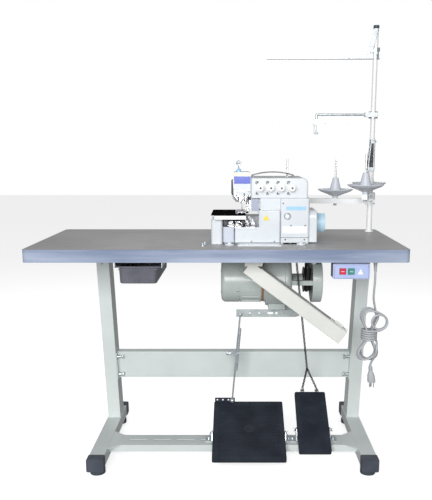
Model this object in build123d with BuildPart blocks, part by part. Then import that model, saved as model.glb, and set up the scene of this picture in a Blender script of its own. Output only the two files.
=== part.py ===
from build123d import *
from math import atan2, cos, degrees, radians, sin, tan
import os

# Serger (overlock) machine on its table, with clutch motor, treadles and thread stand.
# Millimetres, +X to the operator's right, +Y away from the operator, +Z up.
# The origin is on the floor under the middle of the whole machine.

# ---------------------------------------------------------------- driving sizes
centre_x, centre_y = -18.0, -28.0      # the table's middle, from the origin

table_length = 1200.0
table_depth = 550.0
table_thickness = 40.0
table_height = 750.0
band_thickness = 2.0
table_corner = 14.0

stand_x = 50.0                         # the stand's middle, from the table's middle
stand_span = 896.0                     # between the two foot beams' centre lines
post_width, post_depth = 45.0, 75.0
post_front = 58.0
post_lean = 24.0                       # how far a post's top stands outside its foot
tube_wall = 2.5
foot_width, foot_height = 50.0, 40.0
foot_front, foot_rear = -292.0, 207.0
foot_gap = 25.0                        # from the floor to the foot beams
pad_radius, pad_height = 25.0, 14.0
pad_inset = 42.0
stud_radius = 5.0
top_arm_length, top_arm_height = 340.0, 6.0
cap_wall = 3.0
cap_length = 30.0

beam_low, beam_height = 214.0, 100.0   # the upper crossbeam
beam_face = 84.0
beam_depth = 36.0
beam_tab = 22.0
sheet = 2.5

treadle_beam_y, treadle_beam_width = -139.0, 82.0
treadle_beam_top, treadle_beam_flange = 64.0, 24.0
slot_length, slot_width, slot_pitch = 64.0, 8.0, 82.0

rim_depth = 14.0                       # the treadles' rims
rim_width = 9.0
treadle_plate = 6.0
pivot_drop = 9.0                       # from a treadle's face down to its pivot line
pivot_radius = 4.0
pivot_length = 9.0
running_gap = 0.06                     # radial, pins and shafts in their bores
slip_gap = 0.4                         # between faces that slide or swing past
main_treadle_x, main_treadle_width = 104.5, 248.0
main_treadle_front, main_treadle_rear = (-262.0, 50.0), (-5.0, 152.0)
lift_treadle_x, lift_treadle_width = 327.0, 110.0
lift_treadle_front, lift_treadle_rear = (-225.0, 59.0), (-10.0, 191.0)
treadle_boss_radius = 24.0

drawer_left, drawer_right = -303.0, -187.0
drawer_front, drawer_length = -255.0, 300.0
drawer_height, drawer_wall = 56.0, 2.5
drawer_flange = 14.0
drawer_drop = 14.0                     # from the table's underside to the drawer's flange

motor_drop = 105.0                     # from the table's underside to the motor's axis
motor_left, motor_seam, motor_right = 9.0, 71.0, 163.0
motor_radius = 79.0
clutch_radius, clutch_right = 90.0, 252.0
belt_x = 308.0
belt_width, belt_thickness = 8.0, 6.0
motor_pulley_radius = 38.0
machine_pulley_radius = 26.0
pulley_lip = 5.0
motor_shaft_radius = 9.0
guard_radius, guard_left, guard_right = 80.0, 323.0, 357.0
lever_left, lever_right, lever_drop = 61.0, 284.0, 228.0
lever_height, lever_thickness = 27.0, 4.0
lever_pivot_x = 270.0
lever_pivot_radius = 4.0
rod_hook_radius = 2.5
rod_hole_radius = 5.2
rod_hole_x = 75.0
rod_foot_x = 46.0
ball_radius = 6.0

chute_y, chute_depth, chute_height = -150.0, 62.0, 48.0
chute_start, chute_end = (129.5, 655.0), (413.5, 442.0)
chute_wall = 1.8
chute_gap = 0.6
chute_top_x = 118.0

switch_left, switch_width = 363.0, 115.0
switch_height, switch_depth = 48.0, 50.0
switch_front = -265.0
button_width, button_height, button_travel = 20.0, 19.0, 3.0
button_proud = 4.0

shaft_y, shaft_z = -60.0, 62.0         # main shaft, from the table's middle and top
shaft_radius = 8.0
handwheel_radius, handwheel_left, handwheel_right = 31.5, 328.0, 358.0
column_left, column_right = 204.0, 300.0
column_front, head_rear = -140.0, 60.0
seam_height = 148.0
arm_height = 213.0
arm_front = -125.0
arm_left, arm_right = 110.0, 295.0
arm_corner = 19.0
pan_height = 3.7
plate_top = 96.0                       # cloth plate's top, above the table
plate_thickness = 13.5
cover_front, cover_wall = -152.0, 4.0
needle_x, needle_y = 81.0, -75.0
needle_bar_radius = 3.6
needle_travel = 24.0
presser_x, presser_y = 99.0, -60.0
presser_bar_radius = 3.5
dial_pitch, dial_first, dial_count, dial_height = 34.0, 140.0, 4, 181.0
dial_radius, dial_skirt_radius = 9.5, 13.0
dial_post_radius = 2.5

pole_x = table_length / 2 - 38.0       # thread stand's pole, from the table's middle
pole_y = table_depth / 2 - 70.0
pole_radius, upper_pole_radius = 10.0, 8.5
pole_sleeve_top, pole_top = 345.0, 730.0
rail_height, rail_width = 19.0, 20.0
rail_low = 106.0
rail_reach = 362.0
rear_rail_angle = 75.3                 # from +X, seen from above
rear_rail_offset = -13.0
disc_radius, disc_rise = 65.0, 24.0
cone_radius, cone_top_radius, cone_height = 23.5, 10.0, 54.0
spool_pin_radius = 3.0
spool_pin_height = 145.0
upper_guide_height, upper_guide_reach = 636.0, 396.0
lower_guide_height, lower_guide_reach = 428.0, 210.0

cord_radius = 3.5

os.makedirs("parts", exist_ok=True)

# ---------------------------------------------------------------- datums and helpers
under_height = table_height - table_thickness
floor = Plane(origin=(centre_x, centre_y, 0))
under = floor.offset(under_height)     # the table's underside
bed = floor.offset(table_height)       # the table's top
tree = Plane(origin=(centre_x + pole_x, centre_y + pole_y, table_height))


def facing(datum, y):
    """A plane that faces the operator: its x is to the right, its y is up."""
    return Plane(origin=datum.origin + Vector(0, y, 0), x_dir=(1, 0, 0), z_dir=(0, -1, 0))


def across(datum, x):
    """A plane that faces right: its x is towards the rear, its y is up."""
    return Plane(origin=datum.origin + Vector(x, 0, 0), x_dir=(0, 1, 0), z_dir=(1, 0, 0))


def block(x0, x1, y0, y1, z0, z1, mode=Mode.ADD):
    """A box between two corners, measured from the part's own plane."""
    with Locations(((x0 + x1) / 2, (y0 + y1) / 2, (z0 + z1) / 2)):
        Box(x1 - x0, y1 - y0, z1 - z0, mode=mode)


def rod_x(x0, x1, y, z, radius, mode=Mode.ADD):
    """A round bar along X."""
    with Locations(Location(((x0 + x1) / 2, y, z), (0, 90, 0))):
        Cylinder(radius, x1 - x0, mode=mode)


def rod_y(x, y0, y1, z, radius, mode=Mode.ADD):
    """A round bar along Y."""
    with Locations(Location((x, (y0 + y1) / 2, z), (90, 0, 0))):
        Cylinder(radius, y1 - y0, mode=mode)


def rod_z(x, y, z0, z1, radius, mode=Mode.ADD):
    """A round bar along Z."""
    with Locations((x, y, (z0 + z1) / 2)):
        Cylinder(radius, z1 - z0, mode=mode)


def axis_x(datum, y, z):
    """The line along X through a point of a datum."""
    return Axis(datum.origin + Vector(0, y, z), (1, 0, 0))


# ---------------------------------------------------------------- table
lift_cutout = (218.0, 286.0, -150.0, -15.0)
belt_cutout = (belt_x - 13, belt_x + 13, shaft_y - 46, shaft_y + 86)
chute_hole = (92.0, 148.0, chute_y - 26, chute_y + 26)
pole_stud_radius = 7.0
pole_hole_gap = 1.0

with BuildPart(under) as table_top:
    with BuildSketch(under):
        RectangleRounded(table_length - 2 * band_thickness, table_depth - 2 * band_thickness, table_corner)
    extrude(amount=table_thickness)
    for x0, x1, y0, y1 in (lift_cutout, belt_cutout, chute_hole):
        block(x0, x1, y0, y1, -1, table_thickness + 1, Mode.SUBTRACT)
    rod_z(pole_x, pole_y, -1, table_thickness + 1, pole_stud_radius + pole_hole_gap, Mode.SUBTRACT)
table_top.part.label = "table_top"
export_step(table_top.part, "parts/table_top.step")

with BuildPart(under) as edge_band:
    with BuildSketch(under):
        RectangleRounded(table_length, table_depth, table_corner + band_thickness)
        RectangleRounded(table_length - 2 * band_thickness, table_depth - 2 * band_thickness,
                         table_corner, mode=Mode.SUBTRACT)
    extrude(amount=table_thickness)
edge_band.part.label = "edge_band"
export_step(edge_band.part, "parts/edge_band.step")

# ---------------------------------------------------------------- stand
post_centre = post_front + post_depth / 2
foot_top = foot_gap + foot_height
side_x = [stand_x - stand_span / 2, stand_x + stand_span / 2]
sides = list(zip(side_x, (-1, 1)))     # each side with its outward direction
post_top = under_height - top_arm_height
gusset = 60.0
arm_shift = -30.0                      # the top arms' middle, from the posts' middle


def lean_at(height):
    """How far outside its foot a post stands at a height."""
    return post_lean * (height - foot_top) / (post_top - foot_top)


def leaning(x, out, half, heights, y0, y1, mode=Mode.ADD):
    """A bar that follows a post's lean between two heights."""
    low, high = (out * lean_at(height) for height in heights)
    with BuildSketch(facing(floor, y1)) as outline:
        with BuildLine():
            Polyline((x - half + low, heights[0]), (x + half + low, heights[0]),
                     (x + half + high, heights[1]), (x - half + high, heights[1]), close=True)
        make_face()
    extrude(outline.sketch, amount=y1 - y0, mode=mode)


with BuildPart(floor) as legs:
    for x, out in sides:
        leaning(x, out, post_width / 2, (foot_top, post_top), post_front, post_front + post_depth)
        leaning(x, out, post_width / 2 - tube_wall, (foot_top, post_top), post_front + tube_wall,
                post_front + post_depth - tube_wall, Mode.SUBTRACT)
        top_x = x + out * post_lean
        block(top_x - post_width / 2, top_x + post_width / 2, post_centre - top_arm_length / 2 + arm_shift,
              post_centre + top_arm_length / 2 + arm_shift, post_top, under_height)
        with BuildSketch(across(floor, top_x - sheet / 2)):
            with BuildLine():
                Polyline((post_front, post_top - gusset), (post_front, post_top),
                         (post_front - gusset, post_top), close=True)
            make_face()
        extrude(amount=sheet)
legs.part.label = "legs"
export_step(legs.part, "parts/legs.step")

pad_rows = [foot_front + pad_inset, foot_rear - pad_inset]
with BuildPart(floor) as foot_beams:
    with BuildSketch(facing(floor, foot_front)):
        with Locations([(x, foot_gap + foot_height / 2) for x in side_x]):
            Rectangle(foot_width, foot_height)
            Rectangle(foot_width - 2 * tube_wall, foot_height - 2 * tube_wall, mode=Mode.SUBTRACT)
    extrude(amount=foot_front - foot_rear)
    for x in side_x:
        for y in pad_rows:
            rod_z(x, y, foot_gap - 1, foot_gap + tube_wall + 1, stud_radius + slip_gap, Mode.SUBTRACT)
foot_beams.part.label = "foot_beams"
export_step(foot_beams.part, "parts/foot_beams.step")

with BuildPart(floor) as feet_and_caps:
    for x in side_x:
        for y in pad_rows:
            rod_z(x, y, 0, pad_height, pad_radius)
            rod_z(x, y, pad_height, foot_gap - 4, stud_radius + 4)
            rod_z(x, y, foot_gap - 4, foot_gap + 12, stud_radius)
        for end, out in ((foot_front, -1), (foot_rear, 1)):
            y0, y1 = sorted((end + out * cap_wall, end - out * cap_length))
            with BuildSketch(facing(floor, y1)):
                with Locations((x, foot_gap + foot_height / 2)):
                    RectangleRounded(foot_width + 2 * cap_wall, foot_height + 2 * cap_wall, 5)
            extrude(amount=y1 - y0)
            y0, y1 = sorted((end, end - out * (cap_length + 1)))
            block(x - foot_width / 2, x + foot_width / 2, y0, y1, foot_gap, foot_top, Mode.SUBTRACT)
    with Locations((pole_x, pole_y, table_height + pole_top + 3.5)):
        Cylinder(upper_pole_radius + 2, 11)
    rod_z(pole_x, pole_y, table_height + pole_top - 3, table_height + pole_top, upper_pole_radius, Mode.SUBTRACT)
feet_and_caps.part.label = "feet_and_caps"
export_step(feet_and_caps.part, "parts/feet_and_caps.step")

beam_left = side_x[0] + post_width / 2
beam_right = side_x[1] - post_width / 2
beam_top = beam_low + beam_height
with BuildPart(floor) as crossbeam:
    with BuildSketch(across(floor, beam_left - post_lean)):
        with BuildLine():
            Polyline((beam_face, beam_low), (beam_face + beam_depth, beam_low),
                     (beam_face + beam_depth, beam_low + sheet), (beam_face + sheet, beam_low + sheet),
                     (beam_face + sheet, beam_top - sheet), (beam_face + beam_depth, beam_top - sheet),
                     (beam_face + beam_depth, beam_top), (beam_face, beam_top), close=True)
        make_face()
    extrude(amount=beam_right - beam_left + 2 * post_lean)
    for x, out in sides:
        leaning(x, out, post_width / 2, (foot_top, post_top), post_front - 1, post_front + post_depth + 1,
                Mode.SUBTRACT)
        leaning(x - out * (post_width + sheet) / 2, out, sheet / 2, (beam_low, beam_top), beam_face - beam_tab,
                beam_face + sheet)
    for z in (beam_low + 9, beam_top - 9):
        block(beam_left + 8, beam_right - 8, beam_face - 1.2, beam_face + 1, z - 1.5, z + 1.5)
crossbeam.part.label = "crossbeam"
export_step(crossbeam.part, "parts/crossbeam.step")

tread_left = side_x[0] + foot_width / 2
tread_right = side_x[1] - foot_width / 2
tread_front = treadle_beam_y - treadle_beam_width / 2
tread_rear = treadle_beam_y + treadle_beam_width / 2
slot_count = int((tread_right - tread_left - 100) // slot_pitch)
with BuildPart(floor) as treadle_beam:
    block(tread_left, tread_right, tread_front, tread_rear, treadle_beam_top - sheet, treadle_beam_top)
    for y0 in (tread_front, tread_rear - sheet):
        block(tread_left, tread_right, y0, y0 + sheet, treadle_beam_top - treadle_beam_flange, treadle_beam_top)
    with BuildSketch(floor.offset(treadle_beam_top - sheet)):
        for x, out in ((tread_left, 1), (tread_right, -1)):
            with BuildLine():
                Polyline((x, tread_front - 30), (x + out * 42, tread_front + 1), (x + out * 42, tread_rear - 1),
                         (x, tread_rear + 30), close=True)
            make_face()
    extrude(amount=sheet)
    with BuildSketch(floor.offset(treadle_beam_top)):
        with Locations((stand_x, treadle_beam_y)):
            with GridLocations(slot_pitch, 1, slot_count, 1):
                SlotOverall(slot_length, slot_width)
    extrude(amount=-2 * sheet, mode=Mode.SUBTRACT)
treadle_beam.part.label = "treadle_beam"
export_step(treadle_beam.part, "parts/treadle_beam.step")


# ---------------------------------------------------------------- treadles
class Treadle:
    """Where one treadle lies: its slope, its face's plane and its pivot line."""

    def __init__(self, x, width, front, rear):
        self.x, self.width = x, width
        self.length = ((rear[0] - front[0]) ** 2 + (rear[1] - front[1]) ** 2) ** 0.5
        self.slope = atan2(rear[1] - front[1], rear[0] - front[0])
        along = Vector(0, cos(self.slope), sin(self.slope))
        self.face = Plane(origin=floor.origin + Vector(x, front[0], front[1]), x_dir=(1, 0, 0),
                          z_dir=(0, -sin(self.slope), cos(self.slope)))
        self.pivot_along = (treadle_beam_y - front[0]) / cos(self.slope) - pivot_drop * tan(self.slope)
        pivot = self.face.origin + along * self.pivot_along - self.face.z_dir * pivot_drop
        self.pivot_y, self.pivot_z = pivot.Y - centre_y, pivot.Z


def treadle_shape(tread, boss_radius):
    """The ribbed plate with its rim, boss and side pins, in the open part."""
    half, length = tread.width / 2, tread.length
    with BuildSketch(tread.face) as outline:
        with Locations((0, length / 2)):
            RectangleRounded(tread.width, length, 6)
    extrude(outline.sketch, amount=-rim_depth)
    with BuildSketch(tread.face.offset(-rim_depth)) as outline:
        with Locations((0, length / 2)):
            Rectangle(tread.width - 2 * rim_width, length - 2 * rim_width)
    extrude(outline.sketch, amount=rim_depth - treadle_plate, mode=Mode.SUBTRACT)
    rib_pitch, rib_width = 8.0, 4.0
    rib_count = int((length - 4 * rim_width) // rib_pitch)
    with BuildSketch(tread.face) as outline:
        with Locations((0, length / 2)):
            with GridLocations(1, rib_pitch, 1, rib_count):
                Rectangle(tread.width - 4 * rim_width, rib_width)
            Circle(boss_radius, mode=Mode.SUBTRACT)
    extrude(outline.sketch, amount=1.6)
    with BuildSketch(tread.face) as outline:
        with Locations((0, length / 2)):
            Circle(boss_radius - 3)
    extrude(outline.sketch, amount=2.2)
    for out in (-1, 1):
        x0, x1 = sorted((tread.x + out * (half - 2), tread.x + out * (half + pivot_length)))
        rod_x(x0, x1, tread.pivot_y, tread.pivot_z, pivot_radius)


main_tread = Treadle(main_treadle_x, main_treadle_width, main_treadle_front, main_treadle_rear)
lift_tread = Treadle(lift_treadle_x, lift_treadle_width, lift_treadle_front, lift_treadle_rear)
strip_left, strip_right, strip_height = -17.0, 56.0, 18.0
strip_y = main_treadle_rear[0] + 3.0
strip_low = main_treadle_rear[1] - 12.0
ball_y, ball_z = strip_y - 11.0, strip_low + strip_height + 2.0

with BuildPart(floor) as main_treadle:
    treadle_shape(main_tread, treadle_boss_radius)
    block(strip_left, strip_right, strip_y - 6, strip_y, strip_low - 4, strip_low + 3)
    block(strip_left, strip_right, strip_y - sheet, strip_y, strip_low, strip_low + strip_height + 8)
    for step in range(3):
        rod_y(strip_left + 9 + 20 * step, strip_y - 5, strip_y + 2, strip_low + strip_height, 3, Mode.SUBTRACT)
    rod_y(rod_foot_x, ball_y, strip_y, ball_z, 2.5)
    with Locations((rod_foot_x, ball_y, ball_z)):
        Sphere(ball_radius)
main_treadle.part.label = "main_treadle"
export_step(main_treadle.part, "parts/main_treadle.step")

eye_rows = [lift_treadle_x - 26.0, lift_treadle_x + 26.0]
chain_pin_y, chain_pin_z = lift_treadle_rear[0] + 10.0, lift_treadle_rear[1] + 2.0
chain_pin_radius = 2.0
with BuildPart(floor) as lift_treadle:
    treadle_shape(lift_tread, treadle_boss_radius - 4)
    for x in eye_rows:
        for out in (-1, 1):
            with BuildSketch(across(floor, x + out * 5 - 1)):
                with BuildLine():
                    Polyline((lift_treadle_rear[0] - 12, lift_treadle_rear[1] - 9),
                             (lift_treadle_rear[0] + 1, lift_treadle_rear[1] - 9),
                             (chain_pin_y + 5, chain_pin_z - 3), (chain_pin_y + 5, chain_pin_z + 4),
                             (chain_pin_y - 5, chain_pin_z + 4), close=True)
                make_face()
            extrude(amount=2)
        rod_x(x - 6, x + 6, chain_pin_y, chain_pin_z, chain_pin_radius)
lift_treadle.part.label = "lift_treadle"
export_step(lift_treadle.part, "parts/lift_treadle.step")

ear_thickness, ear_gap = 3.0, 1.5
bolt_head, bolt_head_radius = 9.0, 6.0
beam_bolt_z = (beam_low + 16, beam_top - 16)
bolt_clear = bolt_head_radius * post_lean / (post_top - foot_top)
with BuildPart(floor) as bolts_and_clips:
    for tread in (main_tread, lift_tread):
        for out in (-1, 1):
            inner = tread.x + out * (tread.width / 2 + ear_gap)
            x0, x1 = sorted((inner, inner + out * ear_thickness))
            with BuildSketch(across(floor, x0)):
                with BuildLine():
                    Polyline((treadle_beam_y - 18, treadle_beam_top), (treadle_beam_y + 18, treadle_beam_top),
                             (treadle_beam_y + 9, tread.pivot_z), (treadle_beam_y - 9, tread.pivot_z), close=True)
                make_face()
                with Locations((tread.pivot_y, tread.pivot_z)):
                    Circle(9)
                    Circle(pivot_radius + running_gap, mode=Mode.SUBTRACT)
            extrude(amount=ear_thickness)
            x0, x1 = sorted((inner, inner + out * 24))
            block(x0, x1, treadle_beam_y - 18, treadle_beam_y + 18, treadle_beam_top, treadle_beam_top + 3)
            rod_z(inner + out * 14, treadle_beam_y + 8, treadle_beam_top + 3, treadle_beam_top + 8, 5.5)
    for x, out in sides:
        for z in beam_bolt_z:
            seat_x = x + out * (lean_at(z) - post_width / 2 - sheet - bolt_clear)
            for length, radius in ((bolt_head, bolt_head_radius), (bolt_head + 4, 3.5)):
                x0, x1 = sorted((seat_x, seat_x - out * length))
                rod_x(x0, x1, beam_face - beam_tab / 2, z, radius)
bolts_and_clips.part.label = "bolts_and_clips"
export_step(bolts_and_clips.part, "parts/bolts_and_clips.step")

# ---------------------------------------------------------------- drawer and the table's fittings
flange_low = -drawer_drop
with BuildPart(under) as drawer:
    with BuildSketch(under.offset(flange_low - drawer_height)):
        with Locations(((drawer_left + drawer_right) / 2, drawer_front + drawer_length / 2)):
            RectangleRounded(drawer_right - drawer_left, drawer_length, 12)
    extrude(amount=drawer_height, taper=-3)
    fillet(drawer.faces().sort_by(Axis.Z)[0].edges(), 4)
    with BuildSketch(under.offset(flange_low - 4)):
        with Locations(((drawer_left + drawer_right) / 2, drawer_front + drawer_length / 2)):
            RectangleRounded(drawer_right - drawer_left + 2 * drawer_flange,
                             drawer_length + 2 * drawer_flange - 12, 8)
    extrude(amount=4)
    with BuildSketch(under.offset(flange_low - drawer_height + drawer_wall)):
        with Locations(((drawer_left + drawer_right) / 2, drawer_front + drawer_length / 2)):
            RectangleRounded(drawer_right - drawer_left - 2 * drawer_wall, drawer_length - 2 * drawer_wall, 10)
    extrude(amount=drawer_height, taper=-3, mode=Mode.SUBTRACT)
drawer.part.label = "drawer"
export_step(drawer.part, "parts/drawer.step")

cord_exit = (501.0, -230.0)
clip_size = 18.0
clip_drop = 7.0
with BuildPart(under) as table_fittings:
    for edge, out in ((drawer_left - drawer_flange, -1), (drawer_right + drawer_flange, 1)):
        x0, x1 = sorted((edge + out * slip_gap, edge + out * (slip_gap + 2.5)))
        y0, y1 = drawer_front + 10, drawer_front + drawer_length
        block(x0, x1, y0, y1, flange_low - 4 - slip_gap - 2.5, 0)
        x0, x1 = sorted((edge + out * (slip_gap + 2.5), edge - out * 6))
        block(x0, x1, y0, y1, flange_low - 4 - slip_gap - 2.5, flange_low - 4 - slip_gap)
        x0, x1 = sorted((edge + out * slip_gap, edge + out * 16))
        block(x0, x1, y0, y1, -2.5, 0)
    block(cord_exit[0] - clip_size / 2, cord_exit[0] + clip_size / 2, cord_exit[1] - clip_size / 2,
          cord_exit[1] + clip_size / 2, -clip_drop, 0)
    for x, y in ((-40.0, -150.0), (-45.0, -190.0)):
        rod_z(x, y, table_thickness, table_thickness + 4, 9)
        rod_z(x, y, table_thickness + 4, table_thickness + 9, 4)
table_fittings.part.label = "table_fittings"
export_step(table_fittings.part, "parts/table_fittings.step")

# ---------------------------------------------------------------- clutch motor
with BuildPart(under) as motor_bracket:
    block(20, 285, -106, 90, -6, 0)
    block(motor_seam + 4, motor_right - 18, -34, 34, -motor_drop + motor_radius - 12, -6)
    rod_x(motor_seam, motor_right, 0, -motor_drop, motor_radius, Mode.SUBTRACT)
    for x, y in ((40, -86), (262, -86), (150, 66)):
        rod_z(x, y, -14, -6, 17)
        rod_z(x, y, -20, -14, 8)
motor_bracket.part.label = "motor_bracket"
export_step(motor_bracket.part, "parts/motor_bracket.step")

groove = 2.0
with BuildPart(under) as motor_housing:
    rod_x(motor_left, motor_right, 0, -motor_drop, motor_radius)
    fillet(motor_housing.faces().sort_by(Axis.X)[0].edges(), 16)
    for x, width, depth in ((motor_seam, 3, groove), (motor_right - 16, 9, 3 * groove)):
        with BuildSketch(across(under, x)):
            with Locations((0, -motor_drop)):
                Circle(motor_radius + 1)
                Circle(motor_radius - depth, mode=Mode.SUBTRACT)
        extrude(amount=width, mode=Mode.SUBTRACT)
    for turn in range(-60, 61, 20):
        y = (motor_radius + 0.6) * sin(radians(turn - 90))
        z = -motor_drop + (motor_radius + 0.6) * cos(radians(turn - 90))
        with Locations(Location(((motor_seam + motor_right - 14) / 2, y, z), (-(turn - 90), 0, 0))):
            Box(motor_right - motor_seam - 30, 5, 4)
motor_housing.part.label = "motor_housing"
export_step(motor_housing.part, "parts/motor_housing.step")

lever_z = -lever_drop
lug_y = lever_thickness / 2 + slip_gap
with BuildPart(under) as clutch_housing:
    rod_x(motor_right, clutch_right, 0, -motor_drop, clutch_radius)
    fillet(clutch_housing.faces().sort_by(Axis.X)[-1].edges(), 18)
    with BuildSketch(across(under, motor_right + 10)):
        with Locations((0, -motor_drop)):
            Rectangle(80, 200, align=(Align.CENTER, Align.MAX))
    extrude(amount=58)
    block(motor_right + 9, motor_right + 69, -41, 41, -motor_drop - 201, -motor_drop - clutch_radius - 10, Mode.SUBTRACT)
    block(motor_right + 45, lever_pivot_x + 15, lug_y, lug_y + 8, lever_z - 12, -motor_drop - clutch_radius + 14)
    rod_y(lever_pivot_x, -lever_thickness / 2 - 3, lug_y + 1, lever_z, lever_pivot_radius)
    rod_x(clutch_right - 34, clutch_right + 1, 0, -motor_drop, motor_shaft_radius + running_gap, Mode.SUBTRACT)
clutch_housing.part.label = "clutch_housing"
export_step(clutch_housing.part, "parts/clutch_housing.step")


def grooved_pulley(datum, y, z, radius, half_width):
    """A pulley with a groove that leaves the belt a little room, in the open part."""
    with BuildSketch(facing(datum, y)) as outline:
        with BuildLine():
            lip = radius + belt_thickness + pulley_lip - 4
            Polyline((belt_x - half_width, z), (belt_x - half_width, z + lip),
                     (belt_x - half_width + 1.5, z + lip), (belt_x - belt_width / 2 - slip_gap, z + radius - slip_gap),
                     (belt_x + belt_width / 2 + slip_gap, z + radius - slip_gap),
                     (belt_x + half_width - 1.5, z + lip), (belt_x + half_width, z + lip),
                     (belt_x + half_width, z), close=True)
        make_face()
    revolve(outline.sketch, axis=axis_x(datum, y, z))


with BuildPart(under) as motor_pulley:
    rod_x(clutch_right - 33, belt_x, 0, -motor_drop, motor_shaft_radius)
    rod_x(clutch_right + 6, belt_x - 10, 0, -motor_drop, 20)
    grooved_pulley(under, 0, -motor_drop, motor_pulley_radius, 12)
motor_pulley.part.label = "motor_pulley"
export_step(motor_pulley.part, "parts/motor_pulley.step")

with BuildPart(under) as belt_guard:
    with BuildSketch(across(under, guard_left)):
        with Locations((0, -motor_drop)):
            Circle(guard_radius)
            Circle(guard_radius - 3, mode=Mode.SUBTRACT)
    extrude(amount=guard_right - guard_left)
    rod_x(guard_right - 3, guard_right, 0, -motor_drop, guard_radius)
    fillet(belt_guard.faces().sort_by(Axis.X)[-1].edges(), 2.5)
    block(guard_left - 1, guard_right + 1, -60, 60, -motor_drop + 62, 0, Mode.SUBTRACT)
    for y in (-70, 58):
        block(clutch_right - 6, guard_right - 2, y, y + 12, -motor_drop - 8, -motor_drop + 8)
    block(clutch_right - 8, clutch_right, -90, 90, -motor_drop - 90, -motor_drop + 90, Mode.SUBTRACT)
belt_guard.part.label = "belt_guard"
export_step(belt_guard.part, "parts/belt_guard.step")

with BuildPart(under) as v_belt:
    for extra, mode in ((belt_thickness, Mode.ADD), (0, Mode.SUBTRACT)):
        with BuildSketch(across(under, belt_x - belt_width / 2)):
            with Locations((0, -motor_drop)):
                Circle(motor_pulley_radius + extra)
            with Locations((shaft_y, table_thickness + shaft_z)):
                Circle(machine_pulley_radius + extra)
            make_hull()
        extrude(amount=belt_width, mode=mode)
v_belt.part.label = "v_belt"
export_step(v_belt.part, "parts/v_belt.step")

with BuildPart(under) as clutch_lever:
    with BuildSketch(facing(under, lever_thickness / 2)):
        with BuildLine():
            half = lever_height / 2
            Polyline((lever_right - half, lever_z + half), (lever_left, lever_z + half),
                     (lever_left, lever_z - half), (lever_right - half, lever_z - half))
            ThreePointArc((lever_right - half, lever_z - half), (lever_right, lever_z),
                          (lever_right - half, lever_z + half))
        make_face()
        with Locations((lever_pivot_x, lever_z)):
            Circle(lever_pivot_radius + running_gap, mode=Mode.SUBTRACT)
        with Locations((rod_hole_x, lever_z)):
            Circle(rod_hole_radius, mode=Mode.SUBTRACT)
        with Locations([(rod_hole_x + 34 * step, lever_z) for step in (1, 2)]):
            Circle(3.5, mode=Mode.SUBTRACT)
        with Locations([(182 + 28 * step, lever_z) for step in range(3)]):
            SlotOverall(21, 9, mode=Mode.SUBTRACT)
    extrude(amount=lever_thickness)
clutch_lever.part.label = "clutch_lever"
export_step(clutch_lever.part, "parts/clutch_lever.step")

lever_height_z = under_height + lever_z
rod_gap = 0.35
oil_hole_radius = 1.5
rod_clamp_rise, rod_clamp_out = 179.0, 9.0         # from the rod's ball to its clamp, and how far left of the rod it sits
with BuildPart(floor) as pitman_rod:
    foot_point = floor.origin + Vector(rod_foot_x, ball_y, ball_z)
    head_point = floor.origin + Vector(rod_hole_x, ball_y, lever_height_z)
    middle_point = foot_point + (head_point - foot_point) * 0.55
    for start, end, radius in ((foot_point, middle_point, 3.0), (middle_point, head_point, 3.0)):
        direction = (end - start).normalized()
        with BuildSketch(Plane(origin=start, z_dir=direction)):
            Circle(radius)
        extrude(amount=(end - start).length)
    direction = (head_point - foot_point).normalized()
    with BuildSketch(Plane(origin=foot_point + direction * 90, z_dir=direction)):
        with Locations((0, 5)):
            RectangleRounded(7, 9, 2)
    extrude(amount=150)
    with Locations((rod_foot_x, ball_y, ball_z)):
        Sphere(ball_radius + 3.5)
    block(rod_foot_x - 14, rod_foot_x + 14, ball_y + 2.5, ball_y + 14, ball_z - 14, ball_z + 14, Mode.SUBTRACT)
    with Locations((rod_foot_x, ball_y, ball_z)):
        Sphere(ball_radius + rod_gap, mode=Mode.SUBTRACT)
    rod_x(rod_foot_x - 12, rod_foot_x, ball_y, ball_z, oil_hole_radius, Mode.SUBTRACT)
    with Locations((rod_hole_x, ball_y, lever_height_z)):
        Sphere(6)
    rod_y(rod_hole_x, ball_y, lever_thickness / 2 + 6, lever_height_z, rod_hook_radius)
    clamp_x = rod_foot_x + (rod_hole_x - rod_foot_x) * rod_clamp_rise / (lever_height_z - ball_z) - rod_clamp_out
    with Locations((clamp_x, ball_y - 2, ball_z + rod_clamp_rise)):
        Box(22, 16, 18)
    rod_x(clamp_x - 21, clamp_x - 7, ball_y - 2, ball_z + rod_clamp_rise, 5)
pitman_rod.part.label = "pitman_rod"
export_step(pitman_rod.part, "parts/pitman_rod.step")

# ---------------------------------------------------------------- lifting chain and lever
lift_pivot_y, lift_pivot_z = -45.0, -16.0          # from the table's top
lift_arm_end = -125.0
lift_x = 257.0
lift_pin_radius = 4.0
hook_radius = 2.0
lug_left = 238.0
with BuildPart(bed) as lift_lever:
    with BuildSketch(across(bed, lift_x - 2)):
        with BuildLine():
            Polyline((lift_arm_end - 7, lift_pivot_z - 5), (lift_pivot_y + 9, lift_pivot_z - 9),
                     (lift_pivot_y + 9, lift_pivot_z + 9), (lift_arm_end - 7, lift_pivot_z + 5), close=True)
        make_face()
    extrude(amount=4)
    rod_x(lug_left - 3, lift_x + 2, lift_pivot_y, lift_pivot_z, lift_pin_radius)
    rod_x(lift_x - 6, lift_x + 6, lift_arm_end, lift_pivot_z, hook_radius)
lift_lever.part.label = "lift_lever"
export_step(lift_lever.part, "parts/lift_lever.step")

chain_top = (lift_x, lift_arm_end, table_height + lift_pivot_z)
chain_split = (314.0, -25.0, 285.0)
chain_radius = 2.8


def bar_between(start, end, radius):
    """A round bar from one point to another, in the open part."""
    start, end = floor.from_local_coords(Vector(*start)), floor.from_local_coords(Vector(*end))
    with BuildSketch(Plane(origin=start, z_dir=end - start)) as outline:
        Circle(radius)
    extrude(outline.sketch, amount=(end - start).length)


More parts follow.
